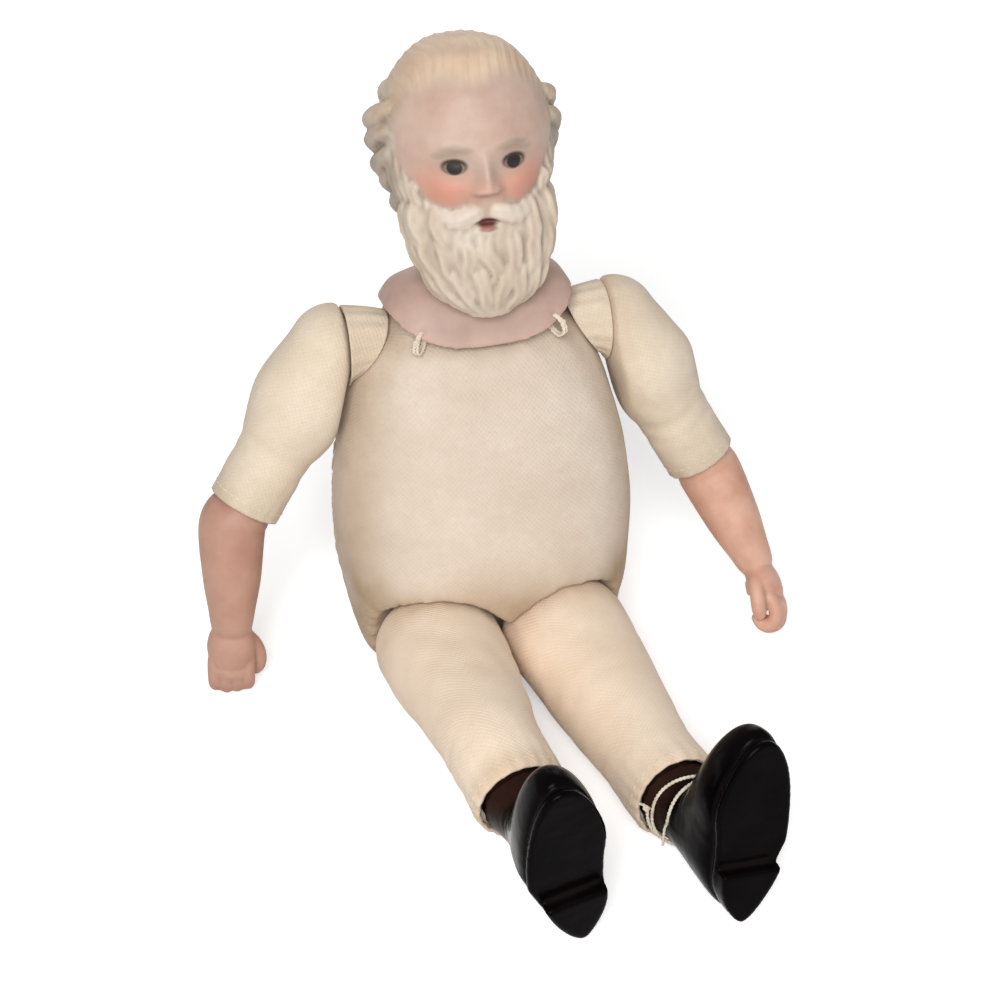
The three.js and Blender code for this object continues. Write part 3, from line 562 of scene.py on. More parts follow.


# a gusset's inner face stays on the body; two points in a narrow band beside the body's wall are worked out,
# and nothing uses them
shoulder_wall, band = np.array((30, 14.9, 112)), (2.2, 3.4)
gusset_way = np.array((math.cos(math.radians(20)), 0, math.sin(math.radians(20))))
tab_rings, tab_sides, tab_top, pleats, pleat_depth = 32, 60, 118.2, 15, 0.28
elbow_places = {}
for name, sign, tilt, forward_lean in (("right", -1, 33, 10), ("left", 1, 29.5, 9)):
    shoulder, elbow_point = spots[f"arm_swing_{name}"], spots[f"elbow_{name}"]
    arm_place = at_mm(*shoulder) @ turn(-forward_lean, "X") @ turn(-sign * tilt, "Y")
    elbow_places[name] = arm_place @ at_mm(0, 0, -arm_length)
    down = turned(arm_place, (0, 0, -1))
    cap = -shoulder_radius * np.cos(np.linspace(0.08, math.pi / 2, 12)[:-1])
    end = arm_length + arm_hem
    reach = np.concatenate([cap, np.arange(0, end + 0.1, 1.4)])
    radii = along([(elbow_radius,), (arm_radius,), (shoulder_radius,)],
                  np.clip(1 - reach / arm_length, 0, 1))[:, 0]
    radii = domed(radii, reach, shoulder_radius)
    arm = tube(f"arm_muslin_{name}", shoulder + reach[:, None] * down, turned(arm_place, (1, 0, 0)), radii,
               radii, sides=64, closed=False)
    from_shoulder = (points_of(arm) - shoulder) @ down
    plump(arm, cap=0.7, held=(from_shoulder > end - 4) | (from_shoulder < -6))

    # it is lumpy between its ends, crumpled at the elbow and folded where it is sewn on
    points, outward = points_of(arm), normals_of(arm)
    middle = step(0, 10, from_shoulder) * (1 - step(end - 12, end - 3, from_shoulder))
    crumple = np.sin(from_shoulder * 2 * math.pi / 6.2 + 1.2 * np.sin(points[:, 1] / 4)) \
        * np.exp(-((from_shoulder - arm_length) / 6) ** 2)
    folds = np.sin(np.arctan2(points[:, 1] - shoulder[1], points[:, 2] - shoulder[2]) * 13) \
        * np.exp(-np.maximum(0, sign * (points[:, 0] - shoulder[0]) + 9) / 5)
    lumpy = middle * (0.45 * lumps(points, 26, 31 + sign) + 0.2 * lumps(points, 10, 41 + sign))
    move_points(arm, points + outward * (lumpy + 0.22 * crumple + 0.3 * folds)[:, None])
    tie_off(arm, (shoulder + arm_length * down, down), arm_hem, count=15, depth=0.16, reach=4, phase=sign * 2)
    finer(arm)
    walled(arm, cloth_wall)

    # its inner side is pressed flat beside the body
    points = points_of(arm)
    from_joint = np.hypot(points[:, 1] - shoulder[1], points[:, 2] - shoulder[2])
    clear, softness = beside_body(from_joint, 2 * arm_gap + 1.3), 1.1
    points[:, 0] = sign * (clear + softness * np.logaddexp(0, (sign * points[:, 0] - clear) / softness))
    move_points(arm, points)
    # painted shade on the inner face beside the body, and dirt at the hem
    by_hem = step(end - 15, end, (points - shoulder) @ down)
    shade_by_body = 1 - step(0, 7, sign * points[:, 0] - clear)
    give_grain(arm, arm_place, 0.45 * by_hem + 0.2 * shade_by_body)
    arm.data.materials.append(arm_muslin)
    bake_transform(arm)
    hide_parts(f"upper_arm_cover_{name}", f"upper_arm_stuffing_{name}", f"arm_cuff_{name}")

    # the gathered gusset at the shoulder: its inner face lies on the body and its outer face on the arm, and
    # pleats run between the two rows of stitching
    share = np.concatenate([np.zeros(10), np.linspace(0.08, 0.92, 9), [0.97], np.ones(12)])
    rings = np.concatenate([np.linspace(0.3, gusset_radius, 10),
                            gusset_radius + (tab_radius - gusset_radius) * share[10:20] ** 2,
                            np.linspace(tab_radius, 0.3, 12)])[:, None]
    share = share[:, None]
    angle = np.linspace(0, 2 * math.pi, tab_sides, endpoint=False)[None]
    ring = rings + pleat_depth * np.sin(angle * pleats) * step(0, 0.2, share) * (1 - step(0.95, 1, share))
    y = shoulder[1] + ring * np.sin(angle)
    z = np.minimum(shoulder[2] + ring * np.cos(angle), tab_top)
    width, depth = body_at(z)
    within = np.maximum(0.02, 1 - np.abs((y - z * spine) / depth) ** body_square)
    outer = beside_body(ring, arm_gap + 1.1) - 0.5 * step(11, tab_radius, ring) * share
    inner = np.minimum(width * within ** (1 / body_square), outer - 1.0)
    slack = 0.9 * np.sin(math.pi * share) * np.cos(angle) * step(3, 9, outer - inner)
    tab_points = np.stack([sign * (inner + (outer - inner) * share), y, z + slack], axis=-1).reshape(-1, 3)
    last = (tab_rings - 1) * tab_sides
    faces = ring_faces(tab_rings, tab_sides) + [range(tab_sides)[::-1], range(last, last + tab_sides)]
    tab = piece(f"shoulder_tab_{name}", tab_points, [face[::-sign] for face in faces])
    finer(tab)
    give_grain(tab, arm_place, np.full(len(tab.data.vertices), 0.12))
    tab.data.materials.append(arm_muslin)
    start, end = [tuple((shoulder_wall + out * gusset_way) * (sign * 0.001, 0.001, 0.001)) for out in band]
    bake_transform(tab)
    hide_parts(f"arm_seam_{name}")


# ---- Bisque forearms ----
# Poured porcelain, fired once without glaze and tinted flesh, with a closed hand. A collar and a groove at
# the top take the tie. Each casting is one skin over its smooth main forms.

def bisque(name, base, warm, grey, extra=None):
    """Unglazed porcelain, tinted in the slip: a slow mottle 9 mm across, grey where the hollow attribute says
    (dust in its hollows, and painted shade on the right forearm and under the beard), a soft gleam from
    handling, and a fine dull grain, too fine to show and so drawn 0.7 mm across."""

    def colour_of(tree):
        at = node(tree, "ShaderNodeAttribute", attribute_name="own_place")["Vector"]
        hollow = node(tree, "ShaderNodeAttribute", attribute_name="hollow")["Fac"]
        mottle, mottled = pattern(tree, at, scale=110.0, detail=3.0, low=0.35, high=0.7)
        speck, specks = pattern(tree, at, scale=1500.0, detail=2.0, low=0.62, high=0.8, most=0.14)
        tint = layered(tree, base, (mottled, warm), (specks, grey))
        if extra:
            tint = extra(tree, at, tint)
        rough = node(tree, "ShaderNodeMapRange", {"Value": mottle, "To Min": 0.42, "To Max": 0.62})[0]
        bump = node(tree, "ShaderNodeBump",
                    {"Height": speck, "Strength": 0.25, "Distance": 0.00012})["Normal"]
        # the grey of dust in the hollows, and of painted shade where the hollow attribute carries it
        return {"Base Color": layered(tree, tint, (hollow, grey)), "Roughness": rough, "Normal": bump}

    return shader(name, "unglazed tinted bisque porcelain", colour_of, **{
        "IOR": 1.5, "Specular IOR Level": 0.4, "Subsurface Weight": 0.06, "Subsurface Scale": 0.002})


def joined(name, parts):
    """One object of several, before they are given a common skin."""
    points, faces, start = [], [], 0
    for part in parts:
        points.append(points_of(part))
        faces += [[start + i for i in face.vertices] for face in part.data.polygons]
        start += len(part.data.vertices)
        bpy.data.objects.remove(part)
    return piece(name, np.vstack(points), faces)


def neighbours(made):
    """The points at the two ends of each edge, and how many neighbours each point has."""
    edges = np.empty(len(made.data.edges) * 2, int)
    made.data.edges.foreach_get("vertices", edges)
    return edges[::2], edges[1::2], np.bincount(edges, minlength=len(made.data.vertices))


def hollows(made, reach, passes, full):
    """How deep each point lies in a hollow of the skin, from 0 to 1: its place against its surroundings."""
    first, second, count = neighbours(made)
    points = points_of(made)
    around = points
    for _ in range(passes):
        total = np.column_stack([np.bincount(first, around[second, k], len(points))
                                 + np.bincount(second, around[first, k], len(points)) for k in range(3)])
        around = total / np.maximum(count, 1)[:, None]
    depth = ((around - points) * normals_of(made)).sum(axis=1)
    return np.clip((depth - reach) / full, 0, 1)


def spline(points, count):
    """Evenly counted points on a smooth curve through some given ones."""
    return along(points, np.linspace(0, 1, count))


def rod(line, radii, sides=20, count=28, side=(1.0, 0.02, 0.03)):
    """A round-ended rod along a smooth line, with a smooth change of half sizes (one, or one each way)."""
    table = np.array([r if isinstance(r, tuple) else (r, r) for r in radii], float)
    sizes = along(table, np.linspace(0, 1, count))
    t = np.linspace(-1, 1, count)
    ends = np.sqrt(np.maximum(0.0, 1 - np.abs(t) ** 7))[:, None]
    sizes = sizes * np.maximum(ends, 0.12)
    return tube("rod", spline(line, count), side, sizes[:, 0], sizes[:, 1], sides)


def lump_of(middle, half_sizes):
    """An egg-shaped form about a middle, with its poles above and below."""
    t = np.linspace(-0.995, 0.995, 15)
    line = np.array(middle) + np.column_stack([0 * t, 0 * t, t * half_sizes[2]])
    ring = np.sqrt(1 - t ** 2)
    return tube("lump", line, (1.0, 0, 0), ring * half_sizes[0], ring * half_sizes[1], sides=24)


flesh_bisque = bisque("flesh_bisque", "#DDB09A", "#CB967F", "#9C7767")
collar_radius = elbow_radius - cloth_wall - arm_gap
wrist_bend = 28
wrist = np.array((0, -32 * math.sin(math.radians(wrist_bend)), -26 - 32 * math.cos(math.radians(wrist_bend))))
finger_line = [(0.5, -7.5), (0.0, -15.0), (2.2, -19.2), (6.0, -19.2), (7.3, -14.0)]
finger_lengths, finger_spacing = (0.93, 1.0, 1.03, 0.97), 3.65
thumb_line = [(1.0, -4.6, -2.5), (2.6, -8.0, -7.7), (4.3, -8.2, -12.8), (5.6, -6.2, -16.0)]
in_hand = Matrix.Translation(wrist) @ turn(-wrist_bend, "X")
# the right forearm is greyed all over as painted shade, and both have dust in their hollows
for name, sign, hand_turn, shade_all_over in (("right", -1, 78, 0.55), ("left", 1, -16, 0.0)):
    place = elbow_places[name] @ turn(hand_turn, "Z") @ Matrix.Diagonal((-sign, 1, 1, 1))
    forms = [
        rod([(0, 0, -10.4), (0, 0, -12.9)], [collar_radius, collar_radius]),
        rod([(0, 0, -10.8), (0, 0, -17)], [7.6, 7.6]),
        rod([(0, 0, -14.6), (0, 0, -20), (0, 0, -26), tuple(wrist * (0, .5, 0) + (0, 0, -40.1)),
             tuple(wrist * (1, 0.86, 1) + (0, 0, 4)), tuple(wrist + (0, -1.5, -3))],
            [(8.8, 8.8), (9.5, 9.5), (10.1, 10.3), (8.6, 9.0), (6.6, 7.2), (6.2, 7.0)], sides=32, count=60)]
    palm = lump_of((0.4, 0, -6.2), (5.1, 7.7, 9.2))
    knuckle = rod([(0.2, -5.4, -13.4), (-0.3, 0, -14.4), (0.2, 5.2, -13.0)], [2.5, 2.9, 2.5])
    heel_of_hand = rod([(2.6, -4.5, -3.5), (3.6, -5.5, -8.5)], [2.6, 2.9])
    thumb = rod(thumb_line, [2.6, 2.3, 2.35, 1.8], side=(0, 1.0, 0))
    hand = [palm, knuckle, heel_of_hand, thumb]
    for k, length in enumerate(finger_lengths):
        aside = (k - 1.5) * finger_spacing
        line = [(x, aside * (1 - 0.05 * i), -7.5 + (z + 7.5) * length)
                for i, (x, z) in enumerate(finger_line)]
        hand.append(rod(line, [2.35, 2.25, 2.3, 2.1, 1.9], sides=16, count=30, side=(0, 1.0, 0)))
    for form in hand:
        move_points(form, moved(points_of(form), in_hand))
    forearm = joined(f"forearm_bisque_{name}", forms + hand)
    remesh(forearm, voxel=0.5, smoothing=5)
    move_points(forearm, moved(points_of(forearm), place))
    if sign > 0:
        forearm.data.flip_normals()
    give(forearm, place, hollow=shade_all_over + 0.9 * (1 - shade_all_over) * hollows(forearm, 0.03, passes=8, full=0.35))
    forearm.data.materials.append(flesh_bisque)
    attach(forearm, f"forearm_{name}")
    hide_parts(f"forearm_{name}")


# ---- Bisque boots ----
# Poured porcelain again, glazed black all over, inside a thin brown line at the rim where the glaze ran thin.
# Each has a modelled sole and heel, and creases at the ankle. A collar and groove at the top take the tie.

def glazed(tree, at):
    """Where the glaze is thin and brown: at the rim, and in faint streaks 4 mm wide below it."""
    height = node(tree, "ShaderNodeSeparateXYZ", {0: at})[2]
    streak = node(tree, "ShaderNodeTexNoise", {"Vector": at, "Scale": 260.0, "Detail": 2.0})["Fac"]
    ragged = node(tree, "ShaderNodeMath", {0: streak, 1: 0.006, 2: height}, operation="MULTIPLY_ADD")[0]
    return node(tree, "ShaderNodeMapRange", {"Value": ragged, "From Min": -0.0285, "From Max": -0.0215},
                interpolation_type="SMOOTHSTEP")[0]


def boot_colour(tree):
    at = node(tree, "ShaderNodeAttribute", attribute_name="own_place")["Vector"]
    hollow = node(tree, "ShaderNodeAttribute", attribute_name="hollow")["Fac"]
    cloud, clouded = pattern(tree, at, scale=70.0, detail=3.0, low=0.45, high=0.75, most=0.5)
    tint = layered(tree, "#070506", (glazed(tree, at), "#311E18"), (clouded, "#120C0F"), (hollow, "#1E1716"))
    rough = node(tree, "ShaderNodeMapRange", {"Value": cloud, "To Min": 0.1, "To Max": 0.3})[0]
    ripple = node(tree, "ShaderNodeTexNoise", {"Vector": at, "Scale": 190.0, "Detail": 1.0})["Fac"]
    bump = node(tree, "ShaderNodeBump", {"Height": ripple, "Strength": 0.35, "Distance": 0.0005})["Normal"]
    return {"Base Color": tint, "Roughness": rough, "Normal": bump}


boot_glaze = shader("boot_glaze", "glossy black glaze on porcelain", boot_colour,
                    **{"IOR": 1.5, "Specular IOR Level": 0.03})

foot_sections = [(0, 11.6, 13, 41), (4, 12.8, 14, 43), (11, 12.3, 13, 40), (17, 11, 12, 29),
                 (22, 10.2, 11, 16), (27, 9.8, 10.5, 11), (35, 11.6, 11.6, 11.6)]
arch_place, arch_nip, heel_narrowing, toe_fullness = 9, 0.25, 0.65, 0.85
heel_floor, sole_floor, foot_floor, heel_share = -62.2, -58.2, -56.0, 0.32
ankle, crease_gap, welt_height = -31.5, 3.4, -54.9
boot_collar = knee_radius - cloth_wall - arm_gap
toes_out = {"right": 9, "left": 7}


def foot_points(share, angle, offset=0.0):
    """The outline of the foot at a share of its height, moved outwards by an offset. The arch is at +X."""
    height, half_width, heel, toe = np.moveaxis(along(foot_sections, share), -1, 0)
    length = np.where(np.sin(angle) < 0, toe, heel)
    y = (length + offset) * np.sign(np.sin(angle)) * np.abs(np.sin(angle)) ** toe_fullness
    nip = np.exp(-((y + arch_place) / arch_place) ** 2) * (1 - share)
    narrowed = 1 - heel_narrowing * (1 - share) * np.maximum(0, (y + arch_place) / (heel + arch_place))
    nipped = 1 - np.where(np.cos(angle) > 0, arch_nip * nip, 0)
    return np.stack([(half_width + offset) * np.cos(angle) * narrowed * nipped, y, height], axis=-1)


def boot_forms():
    """The foot, its sole, its heel, and the shaft with the collar above it."""
    around = np.linspace(0, 2 * math.pi, 160, endpoint=False)
    rings = foot_points(np.linspace(0, 1, 90)[:, None] + 0 * around, around)
    welt = [(0, 0.5), (0.3, 1.0), (1.0, 1.25), (1.8, 1.2), (2.2, 0.7), (2.6, -0.6)]
    sole = np.stack([foot_points(0 * around, around, out) * (1, 1, 0) + (0, 0, sole_floor + up)
                     for up, out in welt])
    heel_front = foot_sections[0][2] - heel_share * (foot_sections[0][2] + foot_sections[0][3])
    outline = foot_points(0 * around, around)
    back = outline[outline[:, 1] > heel_front]
    front = [back[-1] * (1 - t) + back[0] * t for t in np.linspace(0, 1, 30)[1:-1]]
    corners = np.vstack([back, front])
    outwards = corners - corners.mean(axis=0)
    outwards /= np.linalg.norm(outwards, axis=1)[:, None]
    lifts = [(0, -0.3), (0.3, 0.3), (1.0, 0.6), (3.2, 0.7), (4.6, 0.7)]
    heel = np.stack([corners + outwards * out * (1, 1, 0) + (0, 0, heel_floor + up) for up, out in lifts])
    return [stacked("foot", rings + (0, 0, foot_floor)), stacked("sole", sole), stacked("heel", heel),
            rod([(0, 0, -13.6), (0, 0, -15.9)], [boot_collar, boot_collar], sides=48),
            rod([(0, 0, -14.5), (0, 0, -24)], [10.55, 10.55], sides=48)]


for name, sign in (("right", -1), ("left", 1)):
    place = knee_places[name] @ turn(sign * toes_out[name], "Z") @ Matrix.Diagonal((-sign, 1, 1, 1))
    boot = joined(f"boot_bisque_{name}", boot_forms())
    remesh(boot, voxel=0.6, smoothing=4)

    # creases run across the ankle in front, and a groove lies over the welt
    points, outward = points_of(boot), normals_of(boot)
    x, y, z = points.T
    creases = np.exp(-((z - ankle) / 3.2) ** 2) * np.sin((z + 0.28 * y) * 2 * math.pi / crease_gap) \
        * (1 - step(-9, 1, y)) * (0.7 + 0.3 * np.sin(x / 2.3))
    welt_line = np.exp(-((z - welt_height) / 0.55) ** 2)
    uneven = lumps(points, size=16, seed=51 + sign)
    points = points + outward * (0.42 * creases - 0.35 * welt_line + 0.16 * uneven)[:, None]
    move_points(boot, moved(points, place))
    if sign > 0:
        boot.data.flip_normals()
    give(boot, place, hollow=0.5 * hollows(boot, 0.05, passes=8, full=0.4))
    boot.data.materials.append(boot_glaze)
    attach(boot, f"boot_{name}")
    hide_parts(f"boot_{name}")


# ---- Bisque shoulder head ----
# One hollow casting: shoulder plate, neck, head and the modelled hair and beard, tinted and then painted by
# hand. Its forms are joined under one skin, and the face and the strands of hair are worked into that skin.

head_sections = [(0, 29.5, 22, 20, 10, 3), (6, 25, 19, 18, 7, 2.6), (10, 15, 14, 14, 2, 2.1),
                 (17, 12.5, 12, 13, 0, 2), (24, 16, 21, 16, 0, 2), (35, 21, 25, 23, 0, 2),
                 (50, 25, 26, 28, 0, 2), (64, 22.5, 22, 27, 0, 2), (75, 14, 12, 17, 0, 2),
                 (78.5, 3, 2, 4, 0, 2)]
beard_sections = [(1, 7, 3.5, 22), (10, 18, 8, 19), (24, 22, 11, 15), (37, 23.5, 11, 11)]
wall_inset = 3


def head_points(share, angle, inset=0.0):
    """The outer skin of plate, neck and skull. The face is towards -Y, where the sine is negative."""
    height, half_width, front, back, saddle, square = np.moveaxis(along(head_sections, share), -1, 0)
    shrink = 1 - inset / half_width
    power = 2 / square
    aside, ahead = np.cos(angle), np.sin(angle)
    return np.stack([half_width * shrink * np.sign(aside) * np.abs(aside) ** power,
                     np.where(ahead < 0, front, back) * shrink * np.sign(ahead) * np.abs(ahead) ** power,
                     height - saddle * ahead ** 2], axis=-1)


def on_head(degrees, height, out):
    """A point over the skull, round from the doll's left cheek at 0 to the back of the head at 90."""
    rows = along(head_sections, np.linspace(0, 1, 400))
    share = np.interp(height, rows[:, 0], np.linspace(0, 1, 400))
    return head_points(np.array(share), np.array(math.radians(degrees)), -out)


beard_rows = along(beard_sections, np.linspace(0, 1, 200))


def beard_at(height):
    """The beard's half width, half depth and place ahead of the neck, at a height."""
    return [np.interp(height, beard_rows[:, 0], beard_rows[:, k]) for k in (1, 2, 3)]


def on_beard(degrees, height, out):
    """A point over the beard, round from its middle at 0."""
    wide, deep, ahead = beard_at(height)
    a = math.radians(degrees)
    return ((wide + out) * math.sin(a), -(deep + out) * math.cos(a) - ahead, height)


def lock(points, radii, ridge_height=0.15):
    """A lock of hair: a tapering rod whose skin is ridged by a few strands that wind slowly along it."""
    count, sides, strands, twist = 30, 30, 5, 1.5
    made = rod(points, radii, sides=sides, count=count, side=(0.3, 1.0, 0.2))
    on_rod = points_of(made)
    rings = on_rod[:count * sides].reshape(count, sides, 3)
    middles = rings.mean(axis=1, keepdims=True)
    angle = np.linspace(0, 2 * math.pi, sides, endpoint=False)
    wound = twist * np.linspace(0, math.pi, count)[:, None]
    ridged = 1 + ridge_height * np.cos(strands * angle[None] + wound)
    on_rod[:count * sides] = (middles + (rings - middles) * ridged[..., None]).reshape(-1, 3)
    move_points(made, on_rod)
    return made


def hair_forms():
    """The skull with neck and plate, the forms of hair and beard over it, and the moustache."""
    rng = np.random.default_rng(12)
    around = np.linspace(0, 2 * math.pi, 150, endpoint=False)
    inner = [head_points(np.full(150, s), around, wall_inset) for s in (0.11, 0.05, 0.0)]
    outer = head_points(np.linspace(0, 1, 140)[:, None] + 0 * around, around)
    skull = stacked("skull", np.concatenate([inner, outer]))
    a = np.linspace(0, 2 * math.pi, 100, endpoint=False)
    up = np.linspace(1, 37, 50)[:, None]
    wide, deep, ahead = beard_at(up)
    into_cheeks = 3.2 * step(30, 37, up) ** 2
    forms = [stacked("apron", np.stack([(wide - into_cheeks) * np.cos(a),
                                        (deep - into_cheeks) * np.sin(a) - ahead, up + 0 * a], axis=-1))]
    # three rows of soft locks in the beard
    for count, spread, top, tip, size in ((8, 78, 18, 0.6, 3.0), (9, 88, 27, 8.5, 2.9), (8, 96, 35, 17, 2.7)):
        for i in range(count):
            middle = (i - (count - 1) / 2) / (count - 1) * 2 * spread
            if top > 30 and abs(middle) < 40:
                continue
            sway = rng.uniform(-4, 4)
            low = tip + rng.uniform(-0.6, 1.2) + 3.5 * (abs(middle) / spread) ** 2
            line = [on_beard(middle, top, -size * 0.9),
                    on_beard(middle + sway, top * 0.7 + low * 0.3, -size * 0.6),
                    on_beard(middle - sway, top * 0.35 + low * 0.65, -size * 0.55),
                    on_beard(middle * 0.9 + sway * 0.6, low, -size * 0.6)]
            forms.append(lock(line, [size * 0.8, size, size * 0.95, size * 0.4]))
    # the moustache, parted in the middle and turned up at its ends
    moustache = []
    for sign in (-1, 1):
        for lift, size, end in ((1.5, 1.5, 0.6), (0.2, 1.9, 0.0), (-1.2, 1.5, -0.6)):
            moustache.append(lock([(sign * 0.9, -23.7, 33.6 + lift * 0.5), (sign * 5.0, -24.2, 32.4 + lift),
                                   (sign * 9.8, -22.6, 31.2 + lift),
                                   (sign * 14.6, -18.6, 33.0 + lift * 0.5 + end),
                                   (sign * 16.6, -16.4, 36.2 + end)],
                                  [size * 0.9, size * 1.15, size * 1.05, size * 0.8, 0.6]))
    # curls at the sides, whiskers before them, and thick ends of hair low down at the back
    for sign in (-1, 1):
        def beside(degrees, height, out):
            return on_head(degrees if sign > 0 else 180 - degrees, height, out)

        for i in range(4):
            forms.append(lock([beside(-12 - 7 * i, 53 - 3 * i, -1.6), beside(-14 - 7 * i, 46 - 2 * i, -0.4),
                               beside(-13 - 7 * i, 39, 0.4), beside(-16 - 7 * i, 32, 1.0)],
                              [1.0, 2.0, 2.3, 1.6]))
        for i in range(6):
            low = 23.5 + 6.4 * i
            turn_back = rng.uniform(-4, 4)
            forms.append(lock([beside(-17, low + 7, -1.5), beside(-5 + turn_back, low + 3.5, 0.3),
                               beside(9 + turn_back, low - 0.5, 1.0), beside(24, low - 2.5, 0.4),
                               beside(31, low + 1.2, -0.5)],
                              [1.8, 3.0, 3.6 + rng.uniform(-0.3, 0.3), 2.9, 1.4], ridge_height=0.06))
            forms.append(lock([beside(22, low + 9, -1.5), beside(33 + turn_back, low + 4, -0.2),
                               beside(47, low - 1, 0.1), beside(56, low + 1.5, -0.6)],
                              [1.9, 2.9, 2.9, 1.4], ridge_height=0.06))
    for i in range(8):
        place = 57 + 66 * i / 7
        sway = rng.uniform(-4, 4)
        low = 19.5 + 3.2 * (i % 2) + rng.uniform(-0.8, 0.8)
        forms.append(lock([on_head(place, 48, -3.0), on_head(place + sway, 37, -1.3),
                           on_head(place - sway, low + 8, 0.2), on_head(place + sway, low, 1.4)],
                          [1.6, 2.6, 3.0, 0.9]))
    return skull, forms, moustache


skull, locks, moustache = hair_forms()
hair_points = np.vstack([points_of(form) for form in locks + moustache])
lip_hair_count = sum(len(form.data.vertices) for form in moustache)
skin_points = points_of(skull)
head = joined("head_bisque", [skull, *locks, *moustache])
remesh(head, voxel=0.58, smoothing=3)


def evened(made, values, passes):
    """Values at the points of a mesh, averaged with their neighbours some times over."""
    first, second, count = neighbours(made)
    for _ in range(passes):
        values = (values + np.bincount(first, values[second], len(count))
                  + np.bincount(second, values[first], len(count))) / (count + 1)
    return values


# which points belong to modelled hair: the nearest form tells, and on the skull the hairline does
sources = KDTree(len(hair_points) + len(skin_points))
for index, point in enumerate(np.vstack([hair_points, skin_points])):
    sources.insert(point, index)
sources.balance()
points, outward = points_of(head), normals_of(head)
nearest = np.array([sources.find(point)[1] for point in points])
on_hair = nearest < len(hair_points)
modelled = evened(head, on_hair.astype(float), passes=3)
on_lip = on_hair & (nearest >= len(hair_points) - lip_hair_count)
moustached = evened(head, on_lip.astype(float), passes=3)
x, y, z = points.T
hairline = 69.5 + 1.5 * np.exp(-((np.abs(x) - 8.5) / 4) ** 2) - 0.045 * np.maximum(0, np.abs(x) - 10) ** 2
combed = np.maximum(step(-3.5, 3.0, z - hairline), step(-12.5, -8, y) * step(24, 30, z))
combed *= step(19, 23, z)
facing = step(0.1, 0.5, -outward[:, 1]) * (1 - modelled)


def swell(at_x, at_z, wide, high, out):
    """A soft rise or dip in the front of the face, mirrored about its middle."""
    return out * np.exp(-((np.abs(x) - at_x) / wide) ** 2 - ((z - at_z) / high) ** 2)


ridge = step(38.0, 40.4, z) * (1 - step(40.5, 53, z)) ** 0.7
nose_wide = 1.9 + 1.3 * (1 - step(40, 47, z))
face = (swell(8.8, 47.6, 5.0, 3.6, -1.7) + swell(8.8, 47.2, 3.1, 2.0, 1.35)
        + swell(8.9, 49.6, 3.6, 0.55, 0.35) + swell(8.6, 52.7, 5.4, 1.7, 1.0)
        + swell(11.6, 40.6, 5.2, 4.6, 1.5) + swell(8.9, 44.5, 3.4, 0.7, 0.2)
        + 4.3 * ridge * np.exp(-(x / nose_wide) ** 2) + swell(2.9, 40.4, 1.3, 1.25, 1.3)
        + swell(0, 58, 11, 5, 0.5) + swell(6, 36.8, 1.2, 3.4, -0.4))
swept = np.arctan2(x, z - 40)
waves = swept * 31 + 1.6 * np.sin(y / 6 + 2.2 * swept) + 0.7 * np.sin(y / 2.9 - 3 * swept)
strand = (0.62 - np.abs(np.sin(waves)) - 0.45 * np.abs(np.sin(waves * 2.3 + 1))) * combed * (1 - modelled) \
    * step(3, 11, np.hypot(x, z - 40))
fine = (0.5 - np.abs(np.sin(np.arctan2(x, -y) * 26 + 0.9 * np.sin(z / 2.7)))) * modelled
mouth = np.exp(-(x / 3.3) ** 2 - ((z - 29.9) / 0.9) ** 2) * (outward[:, 1] < 0)
lower_lip = np.exp(-(x / 3.5) ** 2 - ((z - 28.0) / 1.1) ** 2) * (outward[:, 1] < 0)
face_shift = np.array((0, -1.0, 0.06)) * (face * facing - 1.2 * mouth + 0.7 * lower_lip)[:, None]
points = points + outward * (0.3 * strand + 0.16 * fine)[:, None] + face_shift
points = points + outward * (0.12 * lumps(points, size=9, seed=71))[:, None]
points[:, 0] *= 1 - 0.11 * modelled * (1 - step(5, 27, z)) * step(6, 14, -y)

# the sew holes at the corners of the plate
stitch_radius, hole_radius = 3.4, 1.0
stitch_places = []
for degrees in (230, -50, 130, 50):
    a = math.radians(degrees)
    edge = head_points(np.array(0.0), np.array(a), wall_inset / 2) - (0, 0, wall_inset / 2)
    above = head_points(np.array(1 / 9), np.array(a), wall_inset / 2) - (0, 0, wall_inset / 2 * 7 / 9)
    up_wall = (above - edge) / np.linalg.norm(above - edge)
    along_edge = np.cross(up_wall, (math.cos(a), math.sin(a), 0))
    along_edge /= np.linalg.norm(along_edge)
    through = np.cross(along_edge, up_wall)
    stitch_places.append((edge, through, along_edge, up_wall))
    offset = points - (edge + up_wall * stitch_radius)
    off_axis = np.linalg.norm(offset - (offset @ through)[:, None] * through, axis=1)
    near = (np.linalg.norm(offset, axis=1) < 6) * np.exp(-(off_axis / hole_radius) ** 4)
    points = points - outward * (1.1 * near)[:, None]

# the plate's rim was wiped smooth before firing
rim = ((1 - modelled) * (1 - step(8, 12, z)))[:, None]
points = points * (1 - rim) + np.column_stack([evened(head, points[:, k], passes=8) for k in range(3)]) * rim
move_points(head, points)
deep = hollows(head, 0.02, passes=10, full=0.5)
plate = 1 - step(15, 20, z)
move_points(head, moved(points, plate_place))


def painted(tree, at, tint, middle, half_sizes, colour, softness, amount):
    """Paint laid on a spot: an ellipse about a middle, in millimetres, with a soft edge, on both sides."""
    for sign in ((-1, 1) if middle[0] else (1,)):
        place = [sign * middle[0] / 1000, middle[1] / 1000, middle[2] / 1000]
        offset = node(tree, "ShaderNodeVectorMath", {0: at, 1: place}, operation="SUBTRACT")[0]
        scaled = node(tree, "ShaderNodeVectorMath", {0: offset, 1: [1000 / s for s in half_sizes]},
                      operation="MULTIPLY")[0]
        away = node(tree, "ShaderNodeVectorMath", {0: scaled}, operation="LENGTH")["Value"]
        inside = node(tree, "ShaderNodeMapRange", {
            "Value": away, "From Min": 1 + softness, "From Max": 1 - softness, "To Max": amount},
            interpolation_type="SMOOTHSTEP")[0]
        tint = layered(tree, tint, (inside, colour))
    return tint


